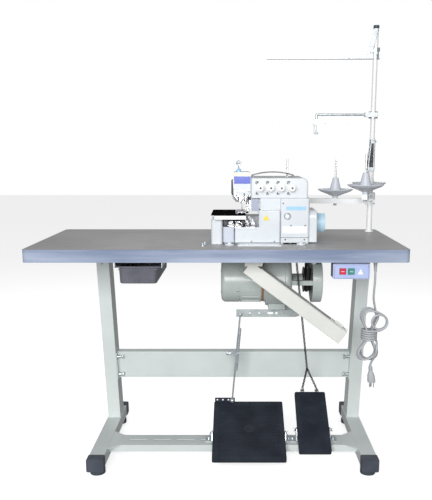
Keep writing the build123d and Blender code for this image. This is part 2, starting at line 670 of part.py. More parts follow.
with BuildPart(floor) as lift_chain:
    top_hang = (chain_top[0], chain_top[1], chain_top[2] - 9)
    bar_between(top_hang, chain_split, chain_radius)
    for x in eye_rows:
        bar_between(chain_split, (x, chain_pin_y, chain_pin_z + 6.5), chain_radius)
        with BuildSketch(across(floor, x - 1.6)):
            with Locations((chain_pin_y, chain_pin_z)):
                Circle(7)
                Circle(chain_pin_radius + running_gap, mode=Mode.SUBTRACT)
        extrude(amount=3.2)
    for out in (-1, 1):
        with BuildSketch(across(floor, lift_x + out * 4 - 1)):
            with Locations((lift_arm_end, chain_top[2])):
                Circle(9.5)
                Circle(5.5, mode=Mode.SUBTRACT)
        extrude(amount=2)
    block(lift_x - 5, lift_x + 5, lift_arm_end - 4, lift_arm_end + 4, chain_top[2] - 13, chain_top[2] - 8)
lift_chain.part.label = "lift_chain"
export_step(lift_chain.part, "parts/lift_chain.step")

# ---------------------------------------------------------------- waste chute
chute_run = Vector(chute_end[0] - chute_start[0], 0, chute_end[1] - chute_start[1])
chute_rise = under_height - 710.0
chute_slope = chute_run.normalized()
chute_top = floor.origin + Vector(chute_start[0], chute_y, chute_start[1] + chute_rise)
chute_plane = Plane(origin=chute_top, x_dir=(0, 1, 0), z_dir=chute_slope)
inner_height = chute_height - 2 * (chute_wall + chute_gap)
inner_depth = chute_depth - 2 * (chute_wall + chute_gap)
overlap = 90.0

with BuildPart(floor) as waste_chute_end:
    with BuildSketch(chute_plane):
        Rectangle(chute_depth, chute_height)
        Rectangle(chute_depth - 2 * chute_wall, chute_height - 2 * chute_wall, mode=Mode.SUBTRACT)
    extrude(amount=chute_run.length)
    with BuildSketch(chute_plane.offset(chute_run.length - 62)):
        with Locations((-chute_depth / 2 - 1.0, 0)):
            Rectangle(2, 26)
    extrude(amount=62)
waste_chute_end.part.label = "waste_chute_end"
export_step(waste_chute_end.part, "parts/waste_chute_end.step")

mouth_height = 28.0
with BuildPart(floor) as waste_chute:
    with BuildSketch(chute_plane.offset(-40)):
        Rectangle(inner_depth, inner_height)
    extrude(amount=40 + overlap)
    with BuildSketch(floor.offset(under_height - mouth_height)):
        with Locations((chute_top_x, chute_y)):
            Rectangle(inner_height + 14, inner_depth)
    with BuildSketch(floor.offset(under_height)):
        with Locations((chute_top_x + 2, chute_y)):
            Rectangle(inner_height + 20, inner_depth)
    loft()
    with BuildSketch(chute_plane.offset(-30)):
        Rectangle(inner_depth - 2 * chute_wall, inner_height - 2 * chute_wall)
    extrude(amount=31 + overlap, mode=Mode.SUBTRACT)
    with BuildSketch(floor.offset(under_height - mouth_height + 2)):
        with Locations((chute_top_x, chute_y)):
            Rectangle(inner_height + 10, inner_depth - 2 * chute_wall)
    with BuildSketch(floor.offset(under_height + 1)):
        with Locations((chute_top_x + 2, chute_y)):
            Rectangle(inner_height + 15, inner_depth - 2 * chute_wall)
    loft(mode=Mode.SUBTRACT)
    with BuildSketch(floor.offset(under_height)):
        with Locations((chute_top_x + 2, chute_y)):
            Rectangle(inner_height + 44, inner_depth + 12)
            Rectangle(inner_height + 14, inner_depth - 2 * chute_wall, mode=Mode.SUBTRACT)
    extrude(amount=-2)
waste_chute.part.label = "waste_chute"
export_step(waste_chute.part, "parts/waste_chute.step")

# ---------------------------------------------------------------- switch box
switch_top = -5.0
button_z = switch_top - switch_height / 2
button_xs = {"stop_button": switch_left + 30.0, "start_button": switch_left + 56.5}
switch_rear = switch_front + switch_depth
pocket = 14.0
with BuildPart(under) as switch_box:
    block(switch_left, switch_left + switch_width, switch_front, switch_rear, switch_top - switch_height, switch_top)
    fillet(switch_box.edges().filter_by(Axis.Y), 3)
    for x in button_xs.values():
        block(x - button_width / 2 - slip_gap, x + button_width / 2 + slip_gap, switch_front - 1,
              switch_front + pocket, button_z - button_height / 2 - slip_gap, button_z + button_height / 2 + slip_gap,
              Mode.SUBTRACT)
    block(switch_left + 10, switch_left + switch_width - 10, switch_front + 12, switch_rear, switch_top, 0)
switch_box.part.label = "switch_box"
export_step(switch_box.part, "parts/switch_box.step")

with BuildPart(under) as stop_button:
    x = button_xs["stop_button"]
    block(x - button_width / 2, x + button_width / 2, switch_front - button_proud,
          switch_front + pocket - button_travel - 1, button_z - button_height / 2, button_z + button_height / 2)
    fillet(stop_button.faces().sort_by(Axis.Y)[0].edges(), 1.5)
stop_button.part.label = "stop_button"
export_step(stop_button.part, "parts/stop_button.step")

with BuildPart(under) as start_button:
    x = button_xs["start_button"]
    block(x - button_width / 2, x + button_width / 2, switch_front - button_proud,
          switch_front + pocket - button_travel - 1, button_z - button_height / 2, button_z + button_height / 2)
    fillet(start_button.faces().sort_by(Axis.Y)[0].edges(), 1.5)
start_button.part.label = "start_button"
export_step(start_button.part, "parts/start_button.step")

# ---------------------------------------------------------------- mains cord
cord_points = [(*cord_exit, -clip_drop), (502.5, -231.0, -60.0), (499.5, -229.0, -110.0), (495.0, -230.0, -154.0)]
hank_top, hank_bottom = cord_points[-1][2], -344.0
hank_half_depth = 15.0
plug_tilt = 6.0


def bend_radii(points, share=0.45):
    """The largest tangent arc that fits at each inner point of a route."""
    radii = []
    for before, here, after in zip(points, points[1:], points[2:]):
        first, second = Vector(*here) - Vector(*before), Vector(*after) - Vector(*here)
        turn = radians(first.get_angle(second))
        radii.append(share * min(first.length, second.length) / tan(turn / 2))
    return radii


cord_path = [under.from_local_coords(Vector(*point)) for point in cord_points]
cord_radii = bend_radii(cord_points)
print("cord bend radii:", [round(radius, 1) for radius in cord_radii])
with BuildPart() as power_cord:
    with BuildLine() as cord_line:
        FilletPolyline(*cord_path, radius=cord_radii)
    with BuildSketch(Plane(origin=cord_path[0], z_dir=cord_line.line % 0)):
        Circle(cord_radius)
    sweep()
print("cord volume against section times length:",
      round(power_cord.part.volume / (3.14159265 * cord_radius ** 2 * cord_line.wires()[0].length), 4))
power_cord.part.label = "power_cord"
export_step(power_cord.part, "parts/power_cord.step")

with BuildPart(under) as cord_hank:
    with BuildSketch(facing(under, cord_points[-1][1] + hank_half_depth)):
        with BuildLine():
            Line((485, hank_top), (507, hank_top))
            Spline((507, hank_top), (518, -186), (508, -230), (507, -258), (517, -292), (521, -318), (509, hank_bottom))
            Line((509, hank_bottom), (474, hank_bottom))
            Spline((474, hank_bottom), (456, -325), (461, -295), (474, -262), (472, -232), (465, -190), (470, -165),
                   (485, hank_top))
        make_face()
        with Locations((521, -200)):
            Circle(17)
    extrude(amount=2 * hank_half_depth)
cord_hank.part.label = "cord_hank"
export_step(cord_hank.part, "parts/cord_hank.step")

plug_face = Plane(origin=under.origin + Vector(497, cord_points[-1][1], hank_bottom),
                  z_dir=(sin(radians(plug_tilt)), 0, -cos(radians(plug_tilt))))
with BuildPart() as power_plug:
    with BuildSketch(Plane(origin=under.origin + Vector(497, cord_points[-1][1], hank_bottom), z_dir=(0, 0, -1))):
        Circle(5.5)
    with BuildSketch(plug_face.offset(26)):
        Circle(7)
    loft()
    with BuildSketch(plug_face.offset(26)):
        RectangleRounded(20, 27, 6)
    with BuildSketch(plug_face.offset(58)):
        RectangleRounded(24, 33, 7)
    loft()
    with BuildSketch(plug_face.offset(58)):
        with Locations((0, -6.5), (0, 6.5)):
            Rectangle(6.5, 1.6)
        with Locations((8, 0)):
            Circle(2.4)
    extrude(amount=18)
power_plug.part.label = "power_plug"
export_step(power_plug.part, "parts/power_plug.step")

# ---------------------------------------------------------------- machine head: casting and covers
bed_left, bed_front, bed_height = 20.0, -134.0, 80.0
wall_y = -20.0                         # where the cavity for the loopers ends
gear_left, gear_front = 140.0, -130.0
floor_height = 14.0
cylinder_height = 56.0
base_low = pan_height + 0.3
throat_left, throat_right = 60.0, 93.0
throat_front, throat_rear = -112.0, -22.0
throat_thickness = 4.0

with BuildPart(bed) as head_base:
    block(bed_left, column_left, wall_y, head_rear, base_low, bed_height)
    block(bed_left, gear_left, bed_front, wall_y, base_low, floor_height)
    block(gear_left, column_left, gear_front, wall_y, base_low, seam_height)
    block(gear_left, column_left, wall_y, head_rear, bed_height, seam_height)
    with BuildSketch(bed.offset(base_low)):
        with Locations(((column_left + column_right) / 2, (column_front + head_rear) / 2)):
            RectangleRounded(column_right - column_left, head_rear - column_front, 7)
    extrude(amount=seam_height - base_low)
    block(column_left - 8, column_left + 12, gear_front, head_rear, base_low, seam_height)
    block(throat_left, throat_right, wall_y - 18, wall_y, 60, plate_top - throat_thickness)
    block(throat_left, throat_right, throat_rear + 0.5, head_rear - 4, bed_height - 2, plate_top)
    block(lug_left, lug_left + 10, lift_pivot_y - 12, lift_pivot_y + 12, lift_pivot_z - 12, base_low + 2)
    rod_x(lug_left - 1, lug_left + 11, lift_pivot_y, lift_pivot_z, lift_pin_radius + running_gap, Mode.SUBTRACT)
    rod_x(column_right - 40, column_right + 1, shaft_y, shaft_z, shaft_radius + running_gap, Mode.SUBTRACT)
    rod_y(234, column_front - 2, column_front + 4, 136, 4)
    for z in (38, 50):
        rod_x(column_left + 40, column_right - 6, column_front, z, 0.6)
head_base.part.label = "head_base"
export_step(head_base.part, "parts/head_base.step")

bush_front, bush_rear = -92.0, -30.0
bush_low, bush_high = 150.0, 178.0
with BuildPart(bed) as head_arm:
    with BuildSketch(facing(bed, head_rear)):
        with BuildLine():
            Polyline((arm_left, seam_height + 0.3), (arm_right, seam_height + 0.3),
                     (arm_right, arm_height - arm_corner))
            ThreePointArc((arm_right, arm_height - arm_corner),
                          (arm_right - arm_corner * (1 - cos(radians(45))), arm_height - arm_corner * (1 - sin(radians(45)))),
                          (arm_right - arm_corner, arm_height))
            Polyline((arm_right - arm_corner, arm_height), (arm_left, arm_height), (arm_left, seam_height + 0.3))
        make_face()
    extrude(amount=head_rear - arm_front)
    fillet(head_arm.faces().sort_by(Axis.Y)[0].edges().filter_by(
        lambda e: e.center().Z > table_height + seam_height + 20), 5)
    block(60, arm_left + 2, bush_front, bush_rear, bush_low, bush_high)
    block(60, arm_left + 2, bush_rear, 40, 128, 200)
    block(arm_left, gear_left + 10, -105, 40, 112, seam_height + 1)
    rod_z(needle_x, needle_y, bush_low - 1, bush_high + 1, needle_bar_radius + running_gap, Mode.SUBTRACT)
    rod_z(presser_x, presser_y, bush_low - 1, bush_high + 1, presser_bar_radius + running_gap, Mode.SUBTRACT)
    block(gear_left - 0.3, gear_left + 11, -106, 41, 100, seam_height, Mode.SUBTRACT)
head_arm.part.label = "head_arm"
export_step(head_arm.part, "parts/head_arm.step")

top_left, top_right, top_front, top_rear = 53.0, 109.5, -98.0, -10.0
top_low, top_high = 153.0, 231.0
with BuildPart(bed) as top_cover:
    with BuildSketch(facing(bed, top_rear)):
        with BuildLine():
            Polyline((top_left, top_low), (top_right, top_low), (top_right, top_high - 4), (top_right - 8, top_high),
                     (top_left + 3, top_high), (top_left, top_high - 3), close=True)
        make_face()
    extrude(amount=top_rear - top_front)
    block(top_left + sheet, top_right + 1, top_front + sheet, top_rear + 1, top_low - 1, arm_height + 1, Mode.SUBTRACT)
    block(top_left + sheet, top_right - sheet, top_front + sheet, top_rear - sheet, arm_height, top_high - 4, Mode.SUBTRACT)
    for x in (top_left + 10, top_right - 10):
        rod_y(x, top_front - 1.6, top_front + 1, 178, 3)
top_cover.part.label = "top_cover"
export_step(top_cover.part, "parts/top_cover.step")

side_left, side_right, side_front, side_rear, side_top = -20.0, 18.0, -150.0, 54.0, 81.5
with BuildPart(bed) as side_cover:
    with BuildSketch(bed.offset(base_low - pan_height)):
        with Locations(((side_left + side_right) / 2, (side_front + side_rear) / 2)):
            RectangleRounded(side_right - side_left, side_rear - side_front, 9)
    extrude(amount=side_top - base_low + pan_height)
    block(side_left + 4, side_right - 4, side_front + 4, side_rear - 4, -1, side_top - 5, Mode.SUBTRACT)
    rod_z(-7, 40, side_top - 6, plate_top - 2, 3)
side_cover.part.label = "side_cover"
export_step(side_cover.part, "parts/side_cover.step")

with BuildPart(bed) as front_guards:
    block(side_right + 1, 56, -156, -137, 3 + pan_height, 57)
    fillet(front_guards.edges().filter_by(Axis.Z).filter_by(lambda e: e.center().Y < centre_y - 150), 6)
    block(side_right + 4, 53, -152, -136, 3, 54, Mode.SUBTRACT)
    block(side_right + 3, 54, -138, bed_front, 4.5, floor_height - 1)
    block(112, 134, -112, -105.2, 104, 146)
front_guards.part.label = "front_guards"
export_step(front_guards.part, "parts/front_guards.step")

hinge_y, hinge_z = cover_front + 3.0, 8.0
cover_left, cover_step, cover_right = 57.5, 135.0, column_left - 0.6
cover_top = 110.0
with BuildPart(bed) as looper_cover:
    with BuildSketch(facing(bed, cover_front + 16)):
        with BuildLine():
            Polyline((cover_left, 5), (cover_right, 5), (cover_right, cover_top), (cover_step, cover_top),
                     (cover_step, cylinder_height), (cover_left, cylinder_height), close=True)
        make_face()
    extrude(amount=16)
    fillet(looper_cover.faces().sort_by(Axis.Y)[0].edges(), 2.5)
    with BuildSketch(facing(bed, cover_front + 17)):
        with BuildLine():
            left, right, top = cover_left + cover_wall, cover_right - cover_wall, cover_top - cover_wall
            Polyline((left, 4), (right, 4), (right, top), (cover_step + cover_wall, top),
                     (cover_step + cover_wall, cylinder_height - cover_wall), (left, cylinder_height - cover_wall),
                     close=True)
        make_face()
    extrude(amount=13, mode=Mode.SUBTRACT)
    for x in (118, 178):
        rod_x(x, x + 10, hinge_y, hinge_z, 3)
looper_cover.part.label = "looper_cover"
export_step(looper_cover.part, "parts/looper_cover.step")

cloth_front, cloth_left = -170.0, -21.0
swing_x, swing_y = -7.0, 40.0
with BuildPart(bed) as cloth_plate:
    with BuildSketch(bed.offset(plate_top - plate_thickness)):
        with BuildLine():
            Polyline((cloth_left + 16, cloth_front), (throat_right, cloth_front), (throat_right, throat_front - slip_gap),
                     (throat_left - 2 * slip_gap, throat_front - slip_gap), (throat_left - 2 * slip_gap, swing_y + 8),
                     (cloth_left, swing_y + 8), (cloth_left, cloth_front + 16), close=True)
        make_face()
    extrude(amount=plate_thickness)
    fillet(cloth_plate.faces().sort_by(Axis.Z)[-1].edges().filter_by(
        lambda e: e.center().Y < centre_y + cloth_front + 20 or e.center().X < centre_x + cloth_left + 10), 3)
    rod_z(swing_x, swing_y, plate_top - plate_thickness - 1, plate_top - 1.5, 3 + running_gap, Mode.SUBTRACT)
    block(side_left + 6, throat_left - 6, cloth_front + 6, swing_y - 8, plate_top - plate_thickness - 1,
          plate_top - 4, Mode.SUBTRACT)
cloth_plate.part.label = "cloth_plate"
export_step(cloth_plate.part, "parts/cloth_plate.step")

feed_rows = (70.0, 76.0, 87.0)
feed_front, feed_rear = -98.0, -50.0
needle_slot = (needle_x - 3.0, needle_x + 3.0, needle_y - 4.0, needle_y + 4.0)
with BuildPart(bed) as throat_plate:
    block(throat_left, throat_right, throat_front, throat_rear, plate_top - throat_thickness, plate_top)
    for x in feed_rows:
        block(x - 1.6, x + 1.6, feed_front - 4, feed_rear + 4, plate_top - throat_thickness - 1, plate_top + 1,
              Mode.SUBTRACT)
    x0, x1, y0, y1 = needle_slot
    block(x0, x1, y0, y1, plate_top - throat_thickness - 1, plate_top + 1, Mode.SUBTRACT)
    for y in (throat_front + 5, throat_rear - 5):
        rod_z(throat_left + 6, y, plate_top - 2, plate_top + 0.2, 2.5)
throat_plate.part.label = "throat_plate"
export_step(throat_plate.part, "parts/throat_plate.step")

belt_cover_left, belt_cover_right, belt_cover_top = column_right + 0.5, 327.0, 107.0
with BuildPart(bed) as belt_cover:
    with BuildSketch(across(bed, belt_cover_left)):
        with Locations((shaft_y + 10, (belt_cover_top + base_low) / 2)):
            RectangleRounded(160, belt_cover_top - base_low, 22)
        with Locations((shaft_y + 10, base_low)):
            Rectangle(160, 30, align=(Align.CENTER, Align.MIN))
    extrude(amount=belt_cover_right - belt_cover_left)
    fillet(belt_cover.faces().sort_by(Axis.X)[-1].edges().filter_by(lambda e: e.center().Z > table_height + 20), 5)
    with BuildSketch(across(bed, belt_cover_left - 1)):
        with Locations((shaft_y + 10, (belt_cover_top + base_low) / 2 - 2)):
            RectangleRounded(150, belt_cover_top - base_low - 8, 18)
        with Locations((shaft_y + 10, base_low - 1)):
            Rectangle(150, 32, align=(Align.CENTER, Align.MIN))
    extrude(amount=belt_cover_right - belt_cover_left + 1 - sheet, mode=Mode.SUBTRACT)
    rod_x(belt_cover_right - 5, belt_cover_right + 1, shaft_y, shaft_z, shaft_radius + 4, Mode.SUBTRACT)
belt_cover.part.label = "belt_cover"
export_step(belt_cover.part, "parts/belt_cover.step")

with BuildPart(bed) as handwheel:
    rod_x(column_right - 39, handwheel_right - 4, shaft_y, shaft_z, shaft_radius)
    grooved_pulley(bed, shaft_y, shaft_z, machine_pulley_radius, 6.5)
    rod_x(handwheel_left, handwheel_right, shaft_y, shaft_z, handwheel_radius)
    with BuildSketch(across(bed, handwheel_right)):
        with Locations((shaft_y, shaft_z)):
            Circle(handwheel_radius - 5)
            Circle(shaft_radius + 4, mode=Mode.SUBTRACT)
    extrude(amount=-12, mode=Mode.SUBTRACT)
handwheel.part.label = "handwheel"
export_step(handwheel.part, "parts/handwheel.step")

with BuildPart(bed) as oil_pan:
    block(bed_left + 2, column_right - 3, bed_front, head_rear - 2, 0, pan_height)
    block(66, 206, -196, bed_front + 1, 0, pan_height)
    block(70, 202, -192, -158, 1.5, pan_height + 1, Mode.SUBTRACT)
    block(215, 289, -153, -12, -1, pan_height + 1, Mode.SUBTRACT)
    for x, y in ((40, -165), (272, -160)):
        rod_z(x, y, 0, 4, 15)
        rod_z(x, y, 4, 9, 7)
oil_pan.part.label = "oil_pan"
export_step(oil_pan.part, "parts/oil_pan.step")

# ---------------------------------------------------------------- machine head: thread path
dials = [dial_first + dial_pitch * step for step in range(dial_count)]
for number, x in enumerate(dials, start=1):
    with BuildPart(bed) as tension_dial:
        rod_y(x, arm_front - 9, arm_front - slip_gap, dial_height, dial_skirt_radius)
        rod_y(x, arm_front - 25, arm_front - 9, dial_height, dial_radius)
        fillet(tension_dial.faces().sort_by(Axis.Y)[0].edges(), 1.5)
        rod_y(x, arm_front - 26, arm_front, dial_height, dial_post_radius + running_gap, Mode.SUBTRACT)
    tension_dial.part.label = f"tension_dial_{number}"
    export_step(tension_dial.part, f"parts/tension_dial_{number}.step")

with BuildPart(bed) as thread_guides:
    for x in dials:
        rod_y(x, arm_front - 27, arm_front, dial_height, dial_post_radius)
        for dx, dz in ((-11, 20), (-11, -19)):
            block(x + dx - 4, x + dx + 4, arm_front - 7, arm_front, dial_height + dz - 1.5, dial_height + dz + 1.5)
    with BuildSketch(facing(bed, -52)):
        with BuildLine():
            ThreePointArc((112, arm_height + 4), (183, arm_height + 15), (254, arm_height + 4))
            ThreePointArc((254, arm_height + 8), (183, arm_height + 19), (112, arm_height + 8))
            Line((254, arm_height + 4), (254, arm_height + 8))
            Line((112, arm_height + 8), (112, arm_height + 4))
        make_face()
    extrude(amount=16)
    for x in (116, 250):
        block(x - 4, x + 4, -68, -52, arm_height, arm_height + 6)
thread_guides.part.label = "thread_guides"
export_step(thread_guides.part, "parts/thread_guides.step")

# ---------------------------------------------------------------- machine head: stitch forming
needle_tip = plate_top + 7.0
clamp_low, clamp_high = plate_top + 36.0, plate_top + 48.0
with BuildPart(bed) as needle_bar:
    rod_z(needle_x, needle_y, clamp_high - 4, 194, needle_bar_radius)
    block(needle_x - 6, needle_x + 6, needle_y - 5, needle_y + 5, clamp_low, clamp_high)
    for dx in (-1.3, 1.3):
        rod_z(needle_x + dx, needle_y, needle_tip, clamp_low + 2, 0.7)
    rod_y(needle_x, needle_y - 9, needle_y - 4, (clamp_low + clamp_high) / 2, 2.5)
needle_bar.part.label = "needle_bar"
export_step(needle_bar.part, "parts/needle_bar.step")

foot_low = plate_top + 0.6
with BuildPart(bed) as presser_foot:
    rod_z(presser_x, presser_y, foot_low + 8, 200, presser_bar_radius)
    block(presser_x - 8, presser_x + 6, presser_y - 8, presser_y + 8, foot_low + 5, foot_low + 14)
    block(throat_left + 5, presser_x + 3, -100, -46, foot_low, foot_low + 3.2)
    block(presser_x - 5, presser_x + 4, presser_y - 6, presser_y + 6, foot_low, foot_low + 8)
    x0, x1, y0, y1 = needle_slot
    block(x0, x1, y0 - 1, y1 + 1, foot_low - 1, foot_low + 4, Mode.SUBTRACT)
    with BuildSketch(across(bed, throat_left + 5)):
        with BuildLine():
            Polyline((-100, foot_low), (-100, foot_low + 3.2), (-108, foot_low + 8), (-109, foot_low + 5.5), close=True)
        make_face()
    extrude(amount=presser_x - throat_left - 2)
presser_foot.part.label = "presser_foot"
export_step(presser_foot.part, "parts/presser_foot.step")

lower_pivot, upper_pivot = (100.0, 28.0), (124.0, 34.0)
with BuildPart(bed) as lower_looper:
    with BuildSketch(facing(bed, -60)):
        with Locations(lower_pivot):
            Circle(8)
        with BuildLine():
            Polyline((lower_pivot[0] - 6, lower_pivot[1]), (lower_pivot[0] + 6, lower_pivot[1]),
                     (lower_pivot[0] + 4, 64), (lower_pivot[0] - 2, 70), (66, 72), (90, 64), close=True)
        make_face()
    extrude(amount=4)
    rod_y(lower_pivot[0], -66, wall_y - 0.5, lower_pivot[1], 5)
lower_looper.part.label = "lower_looper"
export_step(lower_looper.part, "parts/lower_looper.step")

with BuildPart(bed) as upper_looper:
    with BuildSketch(facing(bed, -92)):
        with Locations(upper_pivot):
            Circle(8)
        with BuildLine():
            Polyline((upper_pivot[0] - 6, upper_pivot[1]), (upper_pivot[0] + 6, upper_pivot[1] + 4),
                     (118, 76), (106, 86), (100, 84), (108, 72), close=True)
        make_face()
    extrude(amount=4)
    rod_y(upper_pivot[0], -98, wall_y - 0.5, upper_pivot[1], 5)
upper_looper.part.label = "upper_looper"
export_step(upper_looper.part, "parts/upper_looper.step")

with BuildPart(bed) as feed_dog:
    for x in feed_rows:
        block(x - 1.0, x + 1.0, feed_front, feed_rear, plate_top - 10, plate_top - 1.2)
        for step in range(12):
            with BuildSketch(across(bed, x - 1)):
                with BuildLine():
                    y = feed_front + 4 * step
                    Polyline((y, plate_top - 1.3), (y + 4, plate_top - 1.3), (y + 3.4, plate_top + 0.1), close=True)
                make_face()
            extrude(amount=2)
    block(feed_rows[0] - 3, feed_rows[-1] + 1, feed_front + 32, feed_rear + 3, plate_top - 14, plate_top - 8)
feed_dog.part.label = "feed_dog"
export_step(feed_dog.part, "parts/feed_dog.step")

with BuildPart(bed) as upper_knife:
    block(104, 107, -100, -84, plate_top - 2, plate_top + 40)
    block(103, 110, -102, -94, plate_top + 16, plate_top + 44)
upper_knife.part.label = "upper_knife"
export_step(upper_knife.part, "parts/upper_knife.step")

# ---------------------------------------------------------------- sights and eye guard
dome_x, dome_y = 70.0, -60.0
with BuildPart(bed) as oil_sights:
    rod_y(228, column_front - 2.5, column_front, 90, 9)
    rod_z(dome_x, dome_y, top_high, top_high + 20, 2)
    with Locations((dome_x, dome_y, top_high + 28)):
        Sphere(9)
oil_sights.part.label = "oil_sights"
export_step(oil_sights.part, "parts/oil_sights.step")

guard_x = top_left - 6.0
guard_pivot_z = 160.0
with BuildPart(bed) as eye_guard:
    block(guard_x, guard_x + 4, -66, -54, guard_pivot_z - 6, 214)
    block(36, guard_x + 4, -62, -58, 208, 214)
    block(36, 46, -63, -57, 208, 241)
    rod_x(guard_x, top_left - 0.2, -60, guard_pivot_z, 5)
eye_guard.part.label = "eye_guard"
export_step(eye_guard.part, "parts/eye_guard.step")

# ---------------------------------------------------------------- thread stand
with BuildPart(tree) as stand_pole:
    rod_z(0, 0, 0, 5, 16)
    rod_z(0, 0, -table_thickness - 12, 1, pole_stud_radius)
    rod_z(0, 0, -table_thickness - 9, -table_thickness, 12)
    rod_z(0, 0, 4, pole_sleeve_top, pole_radius)
    rod_z(0, 0, pole_sleeve_top - 1, pole_top, upper_pole_radius)
    rod_x(0, pole_radius + 7, 0, pole_sleeve_top - 12, 3.5)
stand_pole.part.label = "stand_pole"
export_step(stand_pole.part, "parts/stand_pole.step")

rear_along = Vector(cos(radians(rear_rail_angle)), sin(radians(rear_rail_angle)), 0)
rear_low = rail_low + rail_height + 2.0
hub_half = 30.0
collar = 8.0
seat_rows = [(-131.0, 0.0, rail_low), (-312.0, 0.0, rail_low)]
for along in (-93.0, 88.0):
    seat_rows.append((rear_rail_offset * 0.967 + rear_along.X * along, rear_along.Y * along - 1.0, rear_low))

with BuildPart(tree) as spool_rails:
    block(-rail_reach, hub_half - 15, -rail_width / 2, rail_width / 2, rail_low, rail_low + rail_height)
    rod_z(0, 0, rail_low - 4, rail_low + rail_height + 1, pole_radius + collar)
    with BuildSketch(tree.offset(rear_low)):
        with Locations(Location((rear_rail_offset * 0.967, -1.0, 0), (0, 0, rear_rail_angle))):
            Rectangle(236, rail_width)
        Circle(pole_radius + collar)
    extrude(amount=rail_height)
    rod_z(0, 0, rail_low - 5, rear_low + rail_height + 1, pole_radius, Mode.SUBTRACT)
    rod_y(8, -34, -15, rail_low + rail_height / 2, 5)
spool_rails.part.label = "spool_rails"
export_step(spool_rails.part, "parts/spool_rails.step")

with BuildPart(tree) as spool_pins:
    for x, y, low in seat_rows:
        rod_z(x, y, low + rail_height, low + rail_height + spool_pin_height, spool_pin_radius)
        rod_z(x, y, low - 8, low, 6)
spool_pins.part.label = "spool_pins"
export_step(spool_pins.part, "parts/spool_pins.step")

bowl = 2.5
with BuildPart(tree) as spool_seats:
    for x, y, low in seat_rows:
        seat = low + rail_height
        seat_front = facing(tree, y)
        with BuildSketch(seat_front):
            with BuildLine():
                Polyline((x + spool_pin_radius + 0.3, seat), (x + 9, seat), (x + 11, seat + 8),
                         (x + disc_radius - 8, seat + 8 + disc_rise - 6), (x + disc_radius, seat + 8 + disc_rise),
                         (x + disc_radius - 1, seat + 10 + disc_rise), (x + disc_radius - 10, seat + 5 + disc_rise),
                         (x + cone_radius, seat + 16), (x + cone_radius, seat + 22),
                         (x + cone_top_radius, seat + 22 + cone_height), (x + spool_pin_radius + 0.3, seat + 22 + cone_height),
                         close=True)
            make_face()
        revolve(axis=Axis(tree.origin + Vector(x, y, 0), (0, 0, 1)))
spool_seats.part.label = "spool_seats"
export_step(spool_seats.part, "parts/spool_seats.step")

guide_depth = 24.0
with BuildPart(tree) as upper_guide:
    block(-upper_guide_reach, 16, -guide_depth / 2, guide_depth / 2, upper_guide_height - 12, upper_guide_height + 12)
    block(-upper_guide_reach - 1, 10, -guide_depth / 2 + 2, guide_depth / 2 - 2, upper_guide_height - 13,
          upper_guide_height + 10, Mode.SUBTRACT)
    rod_z(0, 0, upper_guide_height - 12, upper_guide_height + 26, upper_pole_radius + 7)
    for step in range(8):
        rod_z(-upper_guide_reach + 14 + 24 * step, 0, upper_guide_height + 9, upper_guide_height + 13, 3,
              Mode.SUBTRACT)
    with BuildSketch(facing(tree, -16)):
        with BuildLine():
            Polyline((-30, upper_guide_height + 14), (-14, upper_guide_height + 14), (4, 726), (-10, 726), close=True)
        make_face()
    extrude(amount=3)
    block(-24, -8, -19, -guide_depth / 2 + 1, upper_guide_height + 8, upper_guide_height + 20)
    rod_z(0, 0, upper_guide_height - 14, upper_guide_height + 27, upper_pole_radius + running_gap, Mode.SUBTRACT)
upper_guide.part.label = "upper_guide"
export_step(upper_guide.part, "parts/upper_guide.step")

lower_z = lower_guide_height
bar_z = lower_z - 28
with BuildPart(tree) as lower_guide:
    rod_z(0, 0, lower_z - 12, lower_z + 12, upper_pole_radius + 8)
    block(-34, 10, -30, -upper_pole_radius - 3, lower_z - 8, lower_z + 8)
    rod_x(-lower_guide_reach, -20, -22, lower_z, 4)
    with Locations((-lower_guide_reach, -22, lower_z)):
        Sphere(4)
    rod_z(-lower_guide_reach, -22, bar_z, lower_z, 4)
    block(-lower_guide_reach - 11, -lower_guide_reach + 11, -33, -11, bar_z - 9, bar_z + 11)
    block(-343, -98, -37, -33, bar_z - 3, bar_z + 4)
    rod_z(-lower_guide_reach - 4, -22, bar_z - 40, bar_z - 8, 4)
    rod_x(-lower_guide_reach - 6, -lower_guide_reach + 8, -22, bar_z - 38, 3)
    rod_z(0, 0, lower_z - 13, lower_z + 13, upper_pole_radius + running_gap, Mode.SUBTRACT)
lower_guide.part.label = "lower_guide"
export_step(lower_guide.part, "parts/lower_guide.step")
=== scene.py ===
"""Looks of a serger (overlock) machine on its table: finishes, fine pieces, mains flex, light and camera."""

import logging
from dataclasses import dataclass
from enum import Enum
from math import cos, pi, radians, sin
from typing import Sequence

import bmesh
import bpy
from mathutils import Matrix, Vector


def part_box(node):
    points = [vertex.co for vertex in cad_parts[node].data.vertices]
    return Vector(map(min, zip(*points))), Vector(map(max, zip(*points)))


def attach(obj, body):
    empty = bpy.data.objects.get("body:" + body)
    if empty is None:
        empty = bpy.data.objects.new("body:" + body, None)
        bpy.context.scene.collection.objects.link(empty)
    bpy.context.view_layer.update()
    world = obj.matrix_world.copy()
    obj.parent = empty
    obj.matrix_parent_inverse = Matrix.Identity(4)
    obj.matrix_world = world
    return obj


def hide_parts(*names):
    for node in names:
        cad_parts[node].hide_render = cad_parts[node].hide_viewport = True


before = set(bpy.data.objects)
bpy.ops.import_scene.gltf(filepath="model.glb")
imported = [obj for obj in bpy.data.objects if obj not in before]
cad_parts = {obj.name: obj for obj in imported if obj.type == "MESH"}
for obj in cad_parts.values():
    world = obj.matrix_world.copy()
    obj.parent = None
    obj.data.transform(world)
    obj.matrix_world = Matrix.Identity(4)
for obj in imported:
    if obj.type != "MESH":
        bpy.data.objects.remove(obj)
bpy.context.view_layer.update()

log = logging.getLogger("serger")
Triple = tuple[float, float, float]
Tree = bpy.types.NodeTree
Socket = bpy.types.NodeSocket
MM = 0.001
